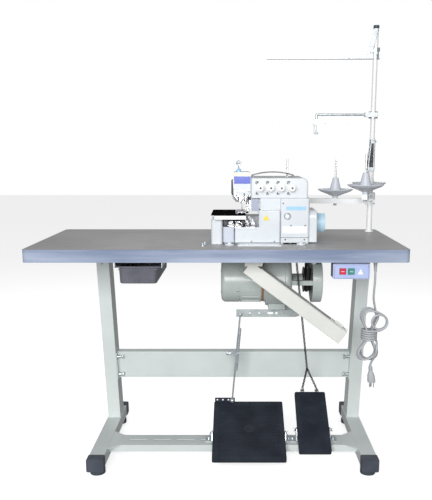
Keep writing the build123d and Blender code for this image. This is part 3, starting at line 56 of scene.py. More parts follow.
TO_FRONT, TO_REAR, TO_RIGHT, TO_LEFT, DOWN, UP = (0, -1, 0), (0, 1, 0), (1, 0, 0), (-1, 0, 0), (0, 0, -1), (0, 0, 1)


# ---------------------------------------------------------------- datums
@dataclass(frozen=True)
class Datum:
    """A place that a sub-assembly's millimetres are counted from.

    Attributes:
        origin: the place in the row frame, in metres.
    """

    origin: Vector

    def at(self, x: float, y: float, z: float) -> Vector:
        """Gives a point that is measured from the datum.

        Args:
            x: millimetres to the right.
            y: millimetres to the rear.
            z: millimetres up.

        Returns:
            The point in the row frame, in metres.
        """
        return self.origin + Vector((x, y, z)) * MM


def middle_of(node: str) -> Vector:
    """Finds the middle of a CAD node's box.

    Args:
        node: the CAD node's name.

    Returns:
        The middle, in metres.
    """
    low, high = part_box(node)
    return (low + high) / 2


BOARD_LOW, BOARD_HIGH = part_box("table_top")
BOARD_MIDDLE = (BOARD_LOW + BOARD_HIGH) / 2
FLOOR = Datum(Vector((BOARD_MIDDLE.x, BOARD_MIDDLE.y, 0)))
UNDER = Datum(Vector((BOARD_MIDDLE.x, BOARD_MIDDLE.y, BOARD_LOW.z)))
BED = Datum(Vector((BOARD_MIDDLE.x, BOARD_MIDDLE.y, BOARD_HIGH.z)))
POLE = Datum(Vector((middle_of("stand_pole").x, middle_of("stand_pole").y, BOARD_HIGH.z)))


# ---------------------------------------------------------------- finishes
class Axis(Enum):
    """The axis that a two-tone finish changes along."""

    X = 0
    Y = 1
    Z = 2


@dataclass(frozen=True)
class Finish:
    """A surface finish with mottled colour, uneven gloss and a fine grain.

    Attributes:
        name: what a maker would call it.
        colour: the main colour, linear.
        second: the colour that the mottle drifts to.
        rough: roughness from its smoothest to its roughest places.
        metal: how metallic it is.
        mottle: how many mottles fit in a metre.
        grain: how many grains fit in a metre.
        relief: how strong the grain's bump is.
        coat: clear lacquer on top.
        specks: how strongly dark specks show, for a laminate.
        shine: the strength of the surface's own reflection.
        stretch: how the mottle is drawn out along each axis.
    """

    name: str
    colour: Triple
    second: Triple
    rough: tuple[float, float] = (0.35, 0.5)
    metal: float = 0.0
    mottle: float = 9.0
    grain: float = 900.0
    relief: float = 0.05
    coat: float = 0.0
    specks: float = 0.0
    shine: float = 0.5
    stretch: Triple = (1.0, 1.0, 1.0)

    def make(self) -> bpy.types.Material:
        """Builds the finish, or gives the one built before.

        Returns:
            The Blender material.
        """
        made = bpy.data.materials.get(self.name)
        if made:
            return made
        made = bpy.data.materials.new(self.name)
        made.use_nodes = True
        tree = made.node_tree
        shader = tree.nodes["Principled BSDF"]
        place = tree.nodes.new("ShaderNodeTexCoord").outputs["Object"]
        drawn = tree.nodes.new("ShaderNodeMapping")
        drawn.inputs["Scale"].default_value = self.stretch
        tree.links.new(place, drawn.inputs["Vector"])
        colour = self.mottled(tree, drawn.outputs["Vector"])
        colour = self.speckled(tree, place, colour)
        colour = self.toned(tree, place, colour)
        tree.links.new(colour, shader.inputs["Base Color"])
        tree.links.new(self.uneven_gloss(tree, drawn.outputs["Vector"]), shader.inputs["Roughness"])
        tree.links.new(self.grained(tree, place), shader.inputs["Normal"])
        shader.inputs["Metallic"].default_value = self.metal
        shader.inputs["Specular IOR Level"].default_value = self.shine
        shader.inputs["Coat Weight"].default_value = self.coat
        shader.inputs["Coat Roughness"].default_value = 0.08
        return made

    def noise(self, tree: Tree, place: Socket, scale: float, detail: float) -> Socket:
        """Adds a noise texture.

        Args:
            tree: the material's nodes.
            place: the place on the piece, as a node's output.
            scale: how many patches fit in a metre.
            detail: how many finer layers it has.

        Returns:
            The noise's value.
        """
        node = tree.nodes.new("ShaderNodeTexNoise")
        node.inputs["Scale"].default_value = scale
        node.inputs["Detail"].default_value = detail
        tree.links.new(place, node.inputs["Vector"])
        return node.outputs["Fac"]

    def mottled(self, tree: Tree, place: Socket) -> Socket:
        """Mixes the two colours by a soft noise.

        Args:
            tree: the material's nodes.
            place: the place on the piece, as a node's output.

        Returns:
            The colour.
        """
        ramp = tree.nodes.new("ShaderNodeValToRGB")
        ramp.color_ramp.elements[0].position = 0.35
        ramp.color_ramp.elements[1].position = 0.7
        ramp.color_ramp.elements[0].color = (*self.colour, 1)
        ramp.color_ramp.elements[1].color = (*self.second, 1)
        tree.links.new(self.noise(tree, place, self.mottle, 5), ramp.inputs["Fac"])
        return ramp.outputs["Color"]

    def speckled(self, tree: Tree, place: Socket, colour: Socket) -> Socket:
        """Darkens the colour in fine specks.

        Args:
            tree: the material's nodes.
            place: the place on the piece, as a node's output.
            colour: the colour so far.

        Returns:
            The colour.
        """
        if not self.specks:
            return colour
        spread = tree.nodes.new("ShaderNodeMapRange")
        spread.inputs["From Min"].default_value = 0.55
        spread.inputs["From Max"].default_value = 0.72
        spread.inputs["To Max"].default_value = self.specks
        tree.links.new(self.noise(tree, place, self.grain * 0.5, 2), spread.inputs["Value"])
        mix = tree.nodes.new("ShaderNodeMix")
        mix.data_type = "RGBA"
        mix.inputs["B"].default_value = (0.12, 0.12, 0.12, 1)
        tree.links.new(spread.outputs["Result"], mix.inputs["Factor"])
        tree.links.new(colour, mix.inputs["A"])
        return mix.outputs["Result"]

    def toned(self, tree: Tree, place: Socket, colour: Socket) -> Socket:
        """Leaves the colour as it is; a two-tone finish changes it.

        Args:
            tree: the material's nodes.
            place: the place on the piece, as a node's output.
            colour: the colour so far.

        Returns:
            The colour.
        """
        return colour

    def uneven_gloss(self, tree: Tree, place: Socket) -> Socket:
        """Spreads the roughness between its two values.

        Args:
            tree: the material's nodes.
            place: the place on the piece, as a node's output.

        Returns:
            The roughness.
        """
        spread = tree.nodes.new("ShaderNodeMapRange")
        spread.inputs["From Min"].default_value = 0.3
        spread.inputs["From Max"].default_value = 0.7
        spread.inputs["To Min"].default_value = self.rough[0]
        spread.inputs["To Max"].default_value = self.rough[1]
        tree.links.new(self.noise(tree, place, self.mottle * 3, 4), spread.inputs["Value"])
        return spread.outputs["Result"]

    def grained(self, tree: Tree, place: Socket) -> Socket:
        """Adds the grain's bump.

        Args:
            tree: the material's nodes.
            place: the place on the piece, as a node's output.

        Returns:
            The normal.
        """
        bump = tree.nodes.new("ShaderNodeBump")
        bump.inputs["Strength"].default_value = self.relief
        bump.inputs["Distance"].default_value = 0.0006
        tree.links.new(self.noise(tree, place, self.grain, 3), bump.inputs["Height"])
        return bump.outputs["Normal"]


@dataclass(frozen=True)
class TwoTone(Finish):
    """A finish that turns to another colour past a plane.

    Attributes:
        axis: the axis the change is along.
        limit: where it changes, in metres in the row frame.
        beyond: the colour on the far side of the plane.
    """

    axis: Axis = Axis.Z
    limit: float = 0.0
    beyond: Triple = (0.5, 0.5, 0.5)

    def toned(self, tree: Tree, place: Socket, colour: Socket) -> Socket:
        """Swaps the colour past the plane.

        Args:
            tree: the material's nodes.
            place: the place on the piece, as a node's output.
            colour: the colour so far.

        Returns:
            The colour.
        """
        split = tree.nodes.new("ShaderNodeSeparateXYZ")
        tree.links.new(place, split.inputs["Vector"])
        past = tree.nodes.new("ShaderNodeMath")
        past.operation = "GREATER_THAN"
        past.inputs[1].default_value = self.limit
        tree.links.new(split.outputs[self.axis.value], past.inputs[0])
        mix = tree.nodes.new("ShaderNodeMix")
        mix.data_type = "RGBA"
        mix.inputs["B"].default_value = (*self.beyond, 1)
        tree.links.new(past.outputs["Value"], mix.inputs["Factor"])
        tree.links.new(colour, mix.inputs["A"])
        return mix.outputs["Result"]


@dataclass(frozen=True)
class Clear(Finish):
    """Clear moulded plastic with a faint unevenness."""

    def make(self) -> bpy.types.Material:
        """Builds the clear finish, or gives the one built before.

        Returns:
            The Blender material.
        """
        made = bpy.data.materials.get(self.name) or super().make()
        shader = made.node_tree.nodes["Principled BSDF"]
        shader.inputs["Transmission Weight"].default_value = 0.85
        shader.inputs["IOR"].default_value = 1.45
        return made


class Finishes:
    """Every finish on the machine, by the name of what wears it."""

    laminate = Finish("warm_grey_laminate", (0.41, 0.405, 0.41), (0.47, 0.465, 0.47),
                      (0.4, 0.55), 0, 5, 1400, 0.08, 0, 0.35, 0.3)
    # The edge band's pale second colour, drawn out in streaks along X by the stretch, is painted highlight on its
    # blue-grey.
    band = Finish("blue_grey_edge_band_painted_highlight_streaks", (0.19, 0.235, 0.35), (0.40, 0.46, 0.58),
                  (0.16, 0.34), 0, 10, 500, 0.05, 0.3, 0, 0.5,
                  (0.22, 1.0, 2.2))
    frame_paint = Finish("pale_powder_coat", (0.60, 0.655, 0.645), (0.67, 0.72, 0.71),
                         (0.36, 0.48), 0, 6, 1500, 0.12, 0.05, 0, 0.35)
    charcoal = Finish("charcoal_rubber", (0.045, 0.055, 0.075), (0.07, 0.08, 0.105), (0.42, 0.6), 0, 20, 1200, 0.15)
    zinc = Finish("zinc_plate", (0.50, 0.55, 0.58), (0.66, 0.70, 0.73), (0.24, 0.42), 0.75, 60, 1800, 0.08)
    lever_zinc = Finish("dull_zinc", (0.40, 0.45, 0.45), (0.52, 0.57, 0.57), (0.35, 0.5), 0.35, 30, 1600, 0.08)
    treadle = Finish("black_ribbed_enamel", (0.014, 0.018, 0.028), (0.028, 0.034, 0.050),
                     (0.34, 0.52), 0, 14, 900, 0.18, 0, 0, 0.4)
    motor = Finish("grey_green_enamel", (0.42, 0.47, 0.455), (0.50, 0.55, 0.54), (0.26, 0.4), 0, 10, 700, 0.14, 0.25)
    black_plastic = Finish("black_moulding", (0.020, 0.020, 0.025), (0.045, 0.045, 0.052),
                           (0.34, 0.5), 0, 25, 1600, 0.2)
    drawer = Finish("worn_black_moulding", (0.085, 0.088, 0.112), (0.125, 0.128, 0.158), (0.3, 0.45), 0, 12, 1600, 0.2)
    belt_rubber = Finish("belt_rubber", (0.012, 0.012, 0.012), (0.022, 0.022, 0.022), (0.6, 0.75), 0, 30, 1500, 0.25)
    chain_steel = Finish("oiled_chain_steel", (0.018, 0.018, 0.02), (0.06, 0.06, 0.065), (0.3, 0.5), 0.4, 80, 1500, 0.1)
    chute = Finish("warm_white_sheet", (0.66, 0.67, 0.64), (0.72, 0.73, 0.70),
                   (0.36, 0.5), 0, 8, 1300, 0.08, 0.05, 0, 0.35)
    button_red = Finish("signal_red", (0.56, 0.02, 0.045), (0.64, 0.04, 0.06), (0.25, 0.35), 0, 40, 900, 0.05, 0.3)
    button_green = Finish("signal_green", (0.035, 0.24, 0.19), (0.06, 0.30, 0.23), (0.25, 0.35), 0, 40, 900, 0.05, 0.3)
    flex = Finish("grey_flex", (0.38, 0.40, 0.42), (0.45, 0.47, 0.49), (0.4, 0.55), 0, 30, 1800, 0.12)
    brass = Finish("plug_blade_metal", (0.55, 0.50, 0.42), (0.66, 0.62, 0.55), (0.22, 0.35), 0.9, 90, 1500, 0.05)
    head = Finish("white_enamel", (0.63, 0.67, 0.71), (0.69, 0.73, 0.76), (0.2, 0.32), 0, 6, 600, 0.06, 0.3, 0, 0.4)
    guard_grey = Finish("lavender_grey_moulding", (0.27, 0.29, 0.33), (0.33, 0.35, 0.39), (0.3, 0.42), 0, 14, 1300, 0.1)
    steel = Finish("polished_steel", (0.60, 0.60, 0.62), (0.80, 0.80, 0.82), (0.12, 0.26), 1.0, 70, 2000, 0.06)
    dark_steel = Finish("dark_steel", (0.045, 0.045, 0.05), (0.11, 0.11, 0.12), (0.2, 0.36), 0.7, 70, 2000, 0.06)
    dial = Finish("dial_white", (0.66, 0.69, 0.71), (0.72, 0.75, 0.77), (0.22, 0.32), 0, 20, 1100, 0.06, 0.3)
    dial_skirt = Finish("dial_skirt_grey", (0.42, 0.44, 0.46), (0.54, 0.56, 0.58),
                        (0.25, 0.35), 0.3, 20, 1100, 0.06, 0.2)
    wheel = Finish("teal_grey_moulding", (0.44, 0.63, 0.76), (0.50, 0.69, 0.82), (0.28, 0.4), 0, 12, 1300, 0.08, 0.2)
    light_blue = Finish("light_blue_moulding", (0.30, 0.56, 0.85), (0.36, 0.62, 0.88), (0.3, 0.4), 0, 20, 1300, 0.06)
    name_blue = Finish("plain_blue_plate", (0.05, 0.085, 0.50), (0.07, 0.11, 0.56),
                       (0.25, 0.35), 0, 12, 1200, 0.04, 0.3)
    plain_yellow = Finish("plain_yellow_plate", (0.80, 0.60, 0.04), (0.84, 0.66, 0.08),
                          (0.3, 0.4), 0, 20, 900, 0.04, 0.2)
    guard_cream = Finish("pale_cream_moulding", (0.74, 0.73, 0.64), (0.80, 0.79, 0.70), (0.35, 0.5), 0, 16, 1200, 0.08)
    pole = Finish("pole_white_enamel", (0.82, 0.84, 0.84), (0.89, 0.91, 0.91), (0.26, 0.38), 0, 10, 900, 0.06, 0.25)
    spool = Finish("pale_grey_moulding", (0.58, 0.61, 0.68), (0.68, 0.71, 0.77), (0.28, 0.4), 0, 12, 1200, 0.08, 0.15)
    seam = Finish("seam_shadow", (0.045, 0.05, 0.055), (0.07, 0.075, 0.08), (0.6, 0.7), 0, 20, 900, 0.05, 0, 0, 0.1)
    cork = Finish("brown_brake_band", (0.30, 0.16, 0.07), (0.42, 0.25, 0.12), (0.6, 0.75), 0, 60, 1500, 0.3)
    lamp = Finish("lamp_white", (0.86, 0.89, 0.95), (0.90, 0.92, 0.96), (0.25, 0.35), 0, 20, 900, 0.04, 0.2)
    clear = Clear("clear_moulding", (0.85, 0.89, 0.92), (0.90, 0.93, 0.95), (0.04, 0.1), 0, 10, 500, 0.02)


def dress_in(finish: Finish, *nodes: str) -> None:
    """Gives CAD nodes their finish.

    Args:
        finish: the finish that they wear.
        nodes: the CAD nodes' names.
    """
    for node in nodes:
        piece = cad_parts[node]
        piece.data.materials.clear()
        piece.data.materials.append(finish.make())
        log.info("%s wears %s", node, finish.name)


# ---------------------------------------------------------------- shaping
class Shaper:
    """Builds one fine piece out of bars, plates, rings and turned shapes.

    Attributes:
        name: the piece's name.
        datum: where its millimetres are counted from.
        mesh: the mesh so far.
    """

    def __init__(self, name: str, datum: Datum) -> None:
        """Starts an empty mesh.

        Args:
            name: the piece's name.
            datum: where its millimetres are counted from.
        """
        self.name = name
        self.datum = datum
        self.mesh = bmesh.new()

    def block(self, low: Triple, high: Triple) -> "Shaper":
        """Adds a box.

        Args:
            low: its lowest corner, in millimetres.
            high: its highest corner, in millimetres.

        Returns:
            The shaper.
        """
        a, b = self.datum.at(*low), self.datum.at(*high)
        matrix = Matrix.Translation((a + b) / 2) @ Matrix.Diagonal((*(b - a), 1))
        bmesh.ops.create_cube(self.mesh, size=1, matrix=matrix)
        return self

    def bar(self, start: Triple, end: Triple, radius: float, end_radius: float | None = None,
            sides: int = 24) -> "Shaper":
        """Adds a round bar or cone.

        Args:
            start: the middle of its first end, in millimetres.
            end: the middle of its other end.
            radius: its radius at the start.
            end_radius: its radius at the end, where it differs.
            sides: how many flats the round has.

        Returns:
            The shaper.
        """
        a, b = self.datum.at(*start), self.datum.at(*end)
        turn = Vector((0, 0, 1)).rotation_difference(b - a).to_matrix().to_4x4()
        last = radius if end_radius is None else end_radius
        bmesh.ops.create_cone(
            self.mesh, cap_ends=True, segments=sides, radius1=radius * MM, radius2=last * MM, depth=(b - a).length,
            matrix=Matrix.Translation((a + b) / 2) @ turn,
        )
        return self

    def ball(self, centre: Triple, radius: float, squash: Triple = (1, 1, 1)) -> "Shaper":
        """Adds a round or flattened ball.

        Args:
            centre: its middle, in millimetres.
            radius: its radius, in millimetres.
            squash: how much of the radius is left along each axis.

        Returns:
            The shaper.
        """
        matrix = Matrix.Translation(self.datum.at(*centre)) @ Matrix.Diagonal((*squash, 1))
        bmesh.ops.create_uvsphere(self.mesh, u_segments=24, v_segments=14, radius=radius * MM, matrix=matrix)
        return self

    def turned(self, centre: Triple, axis: Triple, profile: Sequence[tuple[float, float]], sides: int = 40) -> "Shaper":
        """Adds a turned shape.

        Args:
            centre: where the turning axis starts, in millimetres.
            axis: the direction of the turning axis.
            profile: (distance along the axis, radius) pairs, in millimetres.
            sides: how many flats the round has.

        Returns:
            The shaper.
        """
        base = self.datum.at(*centre)
        turn = Vector((0, 0, 1)).rotation_difference(Vector(axis)).to_matrix()
        rings = []
        for along, radius in profile:
            ring = [
                self.mesh.verts.new(base + turn @ Vector((
                    radius * MM * cos(2 * pi * step / sides), radius * MM * sin(2 * pi * step / sides), along * MM)))
                for step in range(sides)
            ]
            rings.append(ring)
        for first, second in zip(rings, rings[1:]):
            for step in range(sides):
                after = (step + 1) % sides
                self.mesh.faces.new((first[step], first[after], second[after], second[step]))
        self.mesh.faces.new(list(reversed(rings[0])))
        self.mesh.faces.new(rings[-1])
        return self

    def wire(self, points: Sequence[Vector], radius: float, closed: bool = False, sides: int = 10) -> "Shaper":
        """Adds a bent wire.

        Args:
            points: the wire's line, in metres in the row frame.
            radius: the wire's radius, in millimetres.
            closed: whether it joins its own start.
            sides: how many flats the wire's round has.

        Returns:
            The shaper.
        """
        count = len(points)
        rings = []
        side = None
        for index, point in enumerate(points):
            ahead = points[(index + 1) % count] if closed or index + 1 < count else point
            behind = points[index - 1] if closed or index else point
            along = (ahead - behind).normalized()
            if side is None:
                side = along.orthogonal().normalized()
            side = (side - along * side.dot(along)).normalized()
            other = along.cross(side)
            turns = [2 * pi * s / sides for s in range(sides)]
            rings.append([
                self.mesh.verts.new(point + (side * cos(turn) + other * sin(turn)) * radius * MM) for turn in turns
            ])
        pairs = list(zip(rings, rings[1:])) + ([(rings[-1], rings[0])] if closed else [])
        for first, second in pairs:
            for s in range(sides):
                after = (s + 1) % sides
                self.mesh.faces.new((first[s], first[after], second[after], second[s]))
        if not closed:
            self.mesh.faces.new(list(reversed(rings[0])))
            self.mesh.faces.new(rings[-1])
        return self

    def ring(self, centre: Triple, axis: Triple, radius: float, wire: float) -> "Shaper":
        """Adds a round eye of wire.

        Args:
            centre: its middle, in millimetres.
            axis: the direction through the eye.
            radius: from its middle to the wire's middle, in millimetres.
            wire: the wire's radius, in millimetres.

        Returns:
            The shaper.
        """
        turn = Vector((0, 0, 1)).rotation_difference(Vector(axis)).to_matrix()
        middle = self.datum.at(*centre)
        steps = 24
        points = [
            middle + turn @ Vector((cos(2 * pi * s / steps), sin(2 * pi * s / steps), 0)) * radius * MM
            for s in range(steps)
        ]
        return self.wire(points, wire, closed=True, sides=8)

    def plate(self, outline: Sequence[tuple[float, float]], near: float, far: float, axis: Axis = Axis.Y) -> "Shaper":
        """Adds a flat plate with any outline.

        Args:
            outline: the outline's corners, in millimetres, in the two other axes' order.
            near: where the plate starts along the axis.
            far: where it ends.
            axis: the axis across the plate.

        Returns:
            The shaper.
        """
        def corner(a: float, b: float, depth: float) -> Vector:
            """Puts the outline's two values and the depth in their axes' order.

            Args:
                a: the outline's first value.
                b: its second value.
                depth: the place along the plate's own axis.

            Returns:
                The point, in metres.
            """
            place = {Axis.X: (depth, a, b), Axis.Y: (a, depth, b), Axis.Z: (a, b, depth)}[axis]
            return self.datum.at(*place)

        first = [self.mesh.verts.new(corner(a, b, near)) for a, b in outline]
        second = [self.mesh.verts.new(corner(a, b, far)) for a, b in outline]
        self.mesh.faces.new(first)
        self.mesh.faces.new(list(reversed(second)))
        for index in range(len(outline)):
            after = (index + 1) % len(outline)
            self.mesh.faces.new((first[index], second[index], second[after], first[after]))
        return self

    def screw(self, head: Triple, axis: Triple, radius: float, height: float) -> "Shaper":
        """Adds a domed screw head with a rim.

        Args:
            head: the middle of its underside, in millimetres.
            axis: the direction that it points in.
            radius: its radius, in millimetres.
            height: its height, in millimetres.

        Returns:
            The shaper.
        """
        profile = [(0, radius), (height * 0.55, radius), (height * 0.85, radius * 0.8), (height, radius * 0.45)]
        return self.turned(head, axis, profile, 20)

    def done(self, finish: Finish, body: str, slot: str | None = None, bevel: float = 0.0,
             facet: float = 32.0) -> bpy.types.Object:
        """Closes the mesh and hands the piece over.

        Args:
            finish: what it is finished in.
            body: the CAD body it moves with.
            slot: not used.
            bevel: how wide its edges are rounded, in millimetres.
            facet: edges sharper than this many degrees stay crisp.

        Returns:
            The new piece.
        """
        bmesh.ops.recalc_face_normals(self.mesh, faces=self.mesh.faces)
        data = bpy.data.meshes.new(self.name)
        self.mesh.to_mesh(data)
        self.mesh.free()
        data.shade_smooth()
        data.set_sharp_from_angle(angle=radians(facet))
        piece = bpy.data.objects.new(self.name, data)
        bpy.context.scene.collection.objects.link(piece)
        if bevel:
            rounding = piece.modifiers.new("rounded_edges", "BEVEL")
            rounding.width = bevel * MM
            rounding.segments = 3
            rounding.limit_method = "ANGLE"
            rounding.angle_limit = radians(40)
        data.materials.append(finish.make())
        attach(piece, body)
        log.info("made %s on %s", self.name, body)
        return piece


# ---------------------------------------------------------------- stand and table
@dataclass
class StandAndTable:
    """The board, its band, the steel stand and its feet.

    Attributes:
        foot_span: between the foot beams' centre lines, in millimetres.
        foot_middle: the stand's middle, from the board's middle.
    """

    foot_span: float = 896.0
    foot_middle: float = 50.0

    def dress(self) -> None:
        """Gives the CAD nodes their finishes."""
        dress_in(Finishes.laminate, "table_top")
        dress_in(Finishes.band, "edge_band")
        dress_in(Finishes.frame_paint, "legs", "foot_beams", "crossbeam", "treadle_beam")
        dress_in(Finishes.charcoal, "feet_and_caps")
        dress_in(Finishes.zinc, "bolts_and_clips", "table_fittings")
        dress_in(Finishes.drawer, "drawer")

    def hex_nuts(self) -> None:
        """Adds the levelling studs' nuts and the crossbeam's bolt heads."""
        nuts = Shaper("levelling_nuts", FLOOR)
        for side in (-0.5, 0.5):
            x = self.foot_middle + side * self.foot_span
            for y in (-250.0, 165.0):
                nuts.bar((x, y, 17), (x, y, 24.6), 10.5, sides=6)
        nuts.done(Finishes.zinc, "frame", "zinc", 0.6)
        heads = Shaper("crossbeam_bolt_heads", FLOOR)
        for x, out in ((-375.5 + 11.6, 1), (475.5 - 11.6, -1)):
            for z in (230.0, 298.0):
                heads.bar((x, 73, z), (x + out * 5, 73, z), 8, sides=6)
        heads.done(Finishes.zinc, "frame", "zinc", 0.5)

    def welds(self) -> None:
        """Adds weld beads where the posts meet the foot beams and the top arms."""
        beads = Shaper("weld_beads", FLOOR)
        for side in (-0.5, 0.5):
            x = self.foot_middle + side * self.foot_span
            for y in (58.0, 133.0):
                points = [FLOOR.at(x - 22 + 44 * s / 10, y, 65.6 + 0.4 * sin(s * 2.1)) for s in range(11)]
                beads.wire(points, 1.6, sides=8)
            for edge in (-22.5, 22.5):
                points = [FLOOR.at(x + edge, 59 + 73 * s / 14, 65.6 + 0.4 * sin(s * 1.7)) for s in range(15)]
                beads.wire(points, 1.6, sides=8)
        beads.done(Finishes.frame_paint, "frame", "frame_paint")

    def board_trim(self) -> None:
        """Adds the screws of the drawer's rails under the board."""
        screws = Shaper("rail_screws", UNDER)
        for x in (-325.0, -165.0):
            for y in (-220.0, 20.0):
                screws.screw((x, y, -2.4), DOWN, 4, 2.2)
        screws.done(Finishes.zinc, "frame", "zinc")

    def drawer_grip(self) -> None:
        """Adds the moulded bead round the drawer's front and its base ribs."""
        grip = Shaper("drawer_bead", UNDER)
        grip.block((-306, -257.4, -26), (-184, -255.2, -22))
        for x in range(-290, -195, 16):
            grip.block((x, -256.4, -64), (x + 2, -254.6, -30))
        grip.done(Finishes.drawer, "drawer", "black_plastic", 0.6)

    def build(self) -> None:
        """Builds the whole sub-assembly."""
        self.dress()
        self.hex_nuts()
        self.welds()
        self.board_trim()
        self.drawer_grip()


# ---------------------------------------------------------------- drive
@dataclass
class Drive:
    """Clutch motor, belt, lever, rod, treadles and lifting chain.

    Attributes:
        axis_drop: from the board's underside to the motor's axis.
        radius: the stator housing's radius.
        link: length of one chain link.
    """

    axis_drop: float = 105.0
    radius: float = 79.0
    link: float = 11.0

    def dress(self) -> None:
        """Gives the CAD nodes their finishes."""
        dress_in(Finishes.motor, "motor_bracket", "motor_housing", "clutch_housing", "belt_guard")
        hub = TwoTone("grey_hub_black_pulley", (0.33, 0.37, 0.335), (0.41, 0.45, 0.42), (0.3, 0.45), 0, 10, 700, 0.1,
                      axis=Axis.X, limit=UNDER.at(293, 0, 0).x, beyond=(0.016, 0.016, 0.018))
        dress_in(hub, "motor_pulley")
        dress_in(Finishes.belt_rubber, "v_belt")
        dress_in(Finishes.lever_zinc, "clutch_lever")
        dress_in(Finishes.zinc, "pitman_rod", "lift_lever")
        dress_in(Finishes.treadle, "main_treadle", "lift_treadle")
        dress_in(Finishes.chain_steel, "lift_chain")
        dress_in(Finishes.chute, "waste_chute", "waste_chute_end")

    def motor_trim(self) -> None:
        """Adds the brake band, the end bell's screws, the rubber mounts and the adjusting knob."""
        z = -self.axis_drop
        band = Shaper("brake_band", UNDER)
        inner, outer, width = self.radius - 5.8, self.radius - 2, 8.6
        band.turned((146.2, 0, z), TO_RIGHT, [(0, inner), (0, outer), (width, outer), (width, inner)], 64)
        band.done(Finishes.cork, "frame")
        screws = Shaper("motor_screws", UNDER)
        for turn in range(45, 360, 90):
            y, up = cos(radians(turn)), sin(radians(turn))
            screws.screw((10.5, 52 * y, z + 52 * up), TO_LEFT, 4.5, 3)
        for turn in (200, 250, 290, 340):
            y, up = cos(radians(turn)), sin(radians(turn))
            screws.screw((66, self.radius * y, z + self.radius * up), (0, y, up), 3.2, 2)
        screws.done(Finishes.brass, "frame")
        mounts = Shaper("rubber_mounts", UNDER)
        for x, y in ((40, -86), (262, -86), (150, 66)):
            mounts.turned((x, y, -6.2), DOWN, [(0, 17), (3, 19), (7, 18), (9, 14)], 32)
        mounts.done(Finishes.dial_skirt, "frame", None, 0)
        knob = Shaper("adjusting_knob", UNDER)
        knob.turned((320, -118, 0), DOWN, [(0, 8), (4, 8), (5, 15), (9, 17), (15, 17), (18, 14)], 28)
        knob.done(Finishes.black_plastic, "frame", "black_plastic")
        tip = Shaper("adjusting_knob_tip", UNDER)
        tip.turned((320, -118, -18), DOWN, [(0, 10), (5, 10), (11, 7), (14, 3)], 24)
        tip.done(Finishes.dial, "frame", "dial_white")

    def housing_ribs(self) -> None:
        """Adds the cast ribs along the clutch housing and its cover's rim."""
        z = -self.axis_drop
        rim = Shaper("clutch_cover_rim", UNDER)
        for x in (168.0, 228.0):
            middle = [UNDER.at(x, 90.4 * cos(2 * pi * s / 72), z + 90.4 * sin(2 * pi * s / 72)) for s in range(72)]
            rim.wire(middle, 1.6, closed=True, sides=8)
        rim.done(Finishes.motor, "frame", "motor_grey")

    def treadle_trim(self) -> None:
        """Adds the ends of the treadles' pivot pins."""
        pivots = (("main_treadle", 104.5, 124.0, -139.0, 89.1), ("lift_treadle", 327.0, 55.0, -139.0, 101.2))
        for body, x, half, y, z in pivots:
            pins = Shaper(f"{body}_pin_ends", FLOOR)
            for out in (-1, 1):
                end = x + out * (half + 9.1)
                pins.bar((end, y, z), (end + out * 3, y, z), 5.5, sides=6)
            pins.done(Finishes.zinc, body, "zinc", 0.4)

    def rod_trim(self) -> None:
        """Adds the rod's clamp screw and the nut on its hook."""
        trim = Shaper("rod_clamp_screw", FLOOR)
        trim.bar((26, -15, 339), (33, -15, 339), 8, sides=6)
        trim.bar((62, -15, 339), (70, -15, 339), 6.5, sides=6)
        trim.bar((60.5, -15, 274), (74.5, -15, 431), 5.0)
        trim.done(Finishes.zinc, "pitman", "zinc", 0.5)

    def chain(self) -> None:
        """Replaces the plain chain with single links laid head to tail."""
        pin_y, pin_z, split, top = 0.0, 193.0, (314.0, -25.0, 285.0), (257.0, -125.0, 725.0)
        chain = Shaper("chain_links", FLOOR)
        runs = [(top, split)] + [(split, (x, pin_y, pin_z + 6)) for x in (301.0, 353.0)]
        for start, end in runs:
            first, last = FLOOR.at(*start), FLOOR.at(*end)
            count = round((last - first).length / (self.link * MM * 0.78))
            along = (last - first).normalized()
            across = along.orthogonal().normalized()
            for step in range(count):
                middle = first + (last - first) * ((step + 0.5) / count)
                side = across if step % 2 else along.cross(across)
                angles = [2 * pi * turn / 16 for turn in range(16)]
                points = [
                    middle + along * (self.link * 0.5 * MM * cos(angle)) + side * (self.link * 0.29 * MM * sin(angle))
                    for angle in angles
                ]
                chain.wire(points, 1.45, closed=True, sides=6)
        for x in (301.0, 353.0):
            chain.ring((x, pin_y, pin_z), TO_RIGHT, 4.4, 1.5)
        for x in (252.8, 261.2):
            chain.ring((x, -125, 734), TO_RIGHT, 7.4, 1.4)
        chain.block((251.6, -129, 722), (262.4, -121, 727.5))
        piece = chain.done(Finishes.chain_steel, "lift_chain", "chain_steel")
        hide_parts("lift_chain")

    def chute_trim(self) -> None:
        """Adds the chute's folded lips and its slotted end bracket."""
        run = Vector((284.0, 0.0, -213.0)).normalized()
        up = Vector((0.6, 0.0, 0.8))
        trim = Shaper("chute_lips", FLOOR)
        for offset in (22.0, -22.4):
            for y in (-181.6, -118.4):
                a = Vector((129.5, y, 655.0)) + up * offset + run * 3
                b = a + run * 348
                trim.bar(tuple(a), tuple(b), 1.5, sides=8)
        trim.done(Finishes.chute, "chute_end", "chute_white")
        bracket = Shaper("chute_end_bracket", FLOOR)
        for offset, length, along in ((26.5, 66, 284), (29.5, 30, 300)):
            a = Vector((129.5, -183.5, 655.0)) + up * offset + run * along
            b = a + run * length
            for part in (0.0, 5.0):
                bracket.bar(tuple(a + up * part), tuple(b + up * part), 1.2, sides=8)
            for share in (0.0, 0.33, 0.66, 1.0):
                c = a + run * (length * share)
                bracket.bar(tuple(c), tuple(c + up * 5), 1.1, sides=8)
        bracket.done(Finishes.chute, "chute_end", "chute_white")

    def build(self) -> None:
        """Builds the whole sub-assembly."""
        self.dress()
        self.motor_trim()
        self.housing_ribs()
        self.treadle_trim()
        self.rod_trim()
        self.chain()
        self.chute_trim()


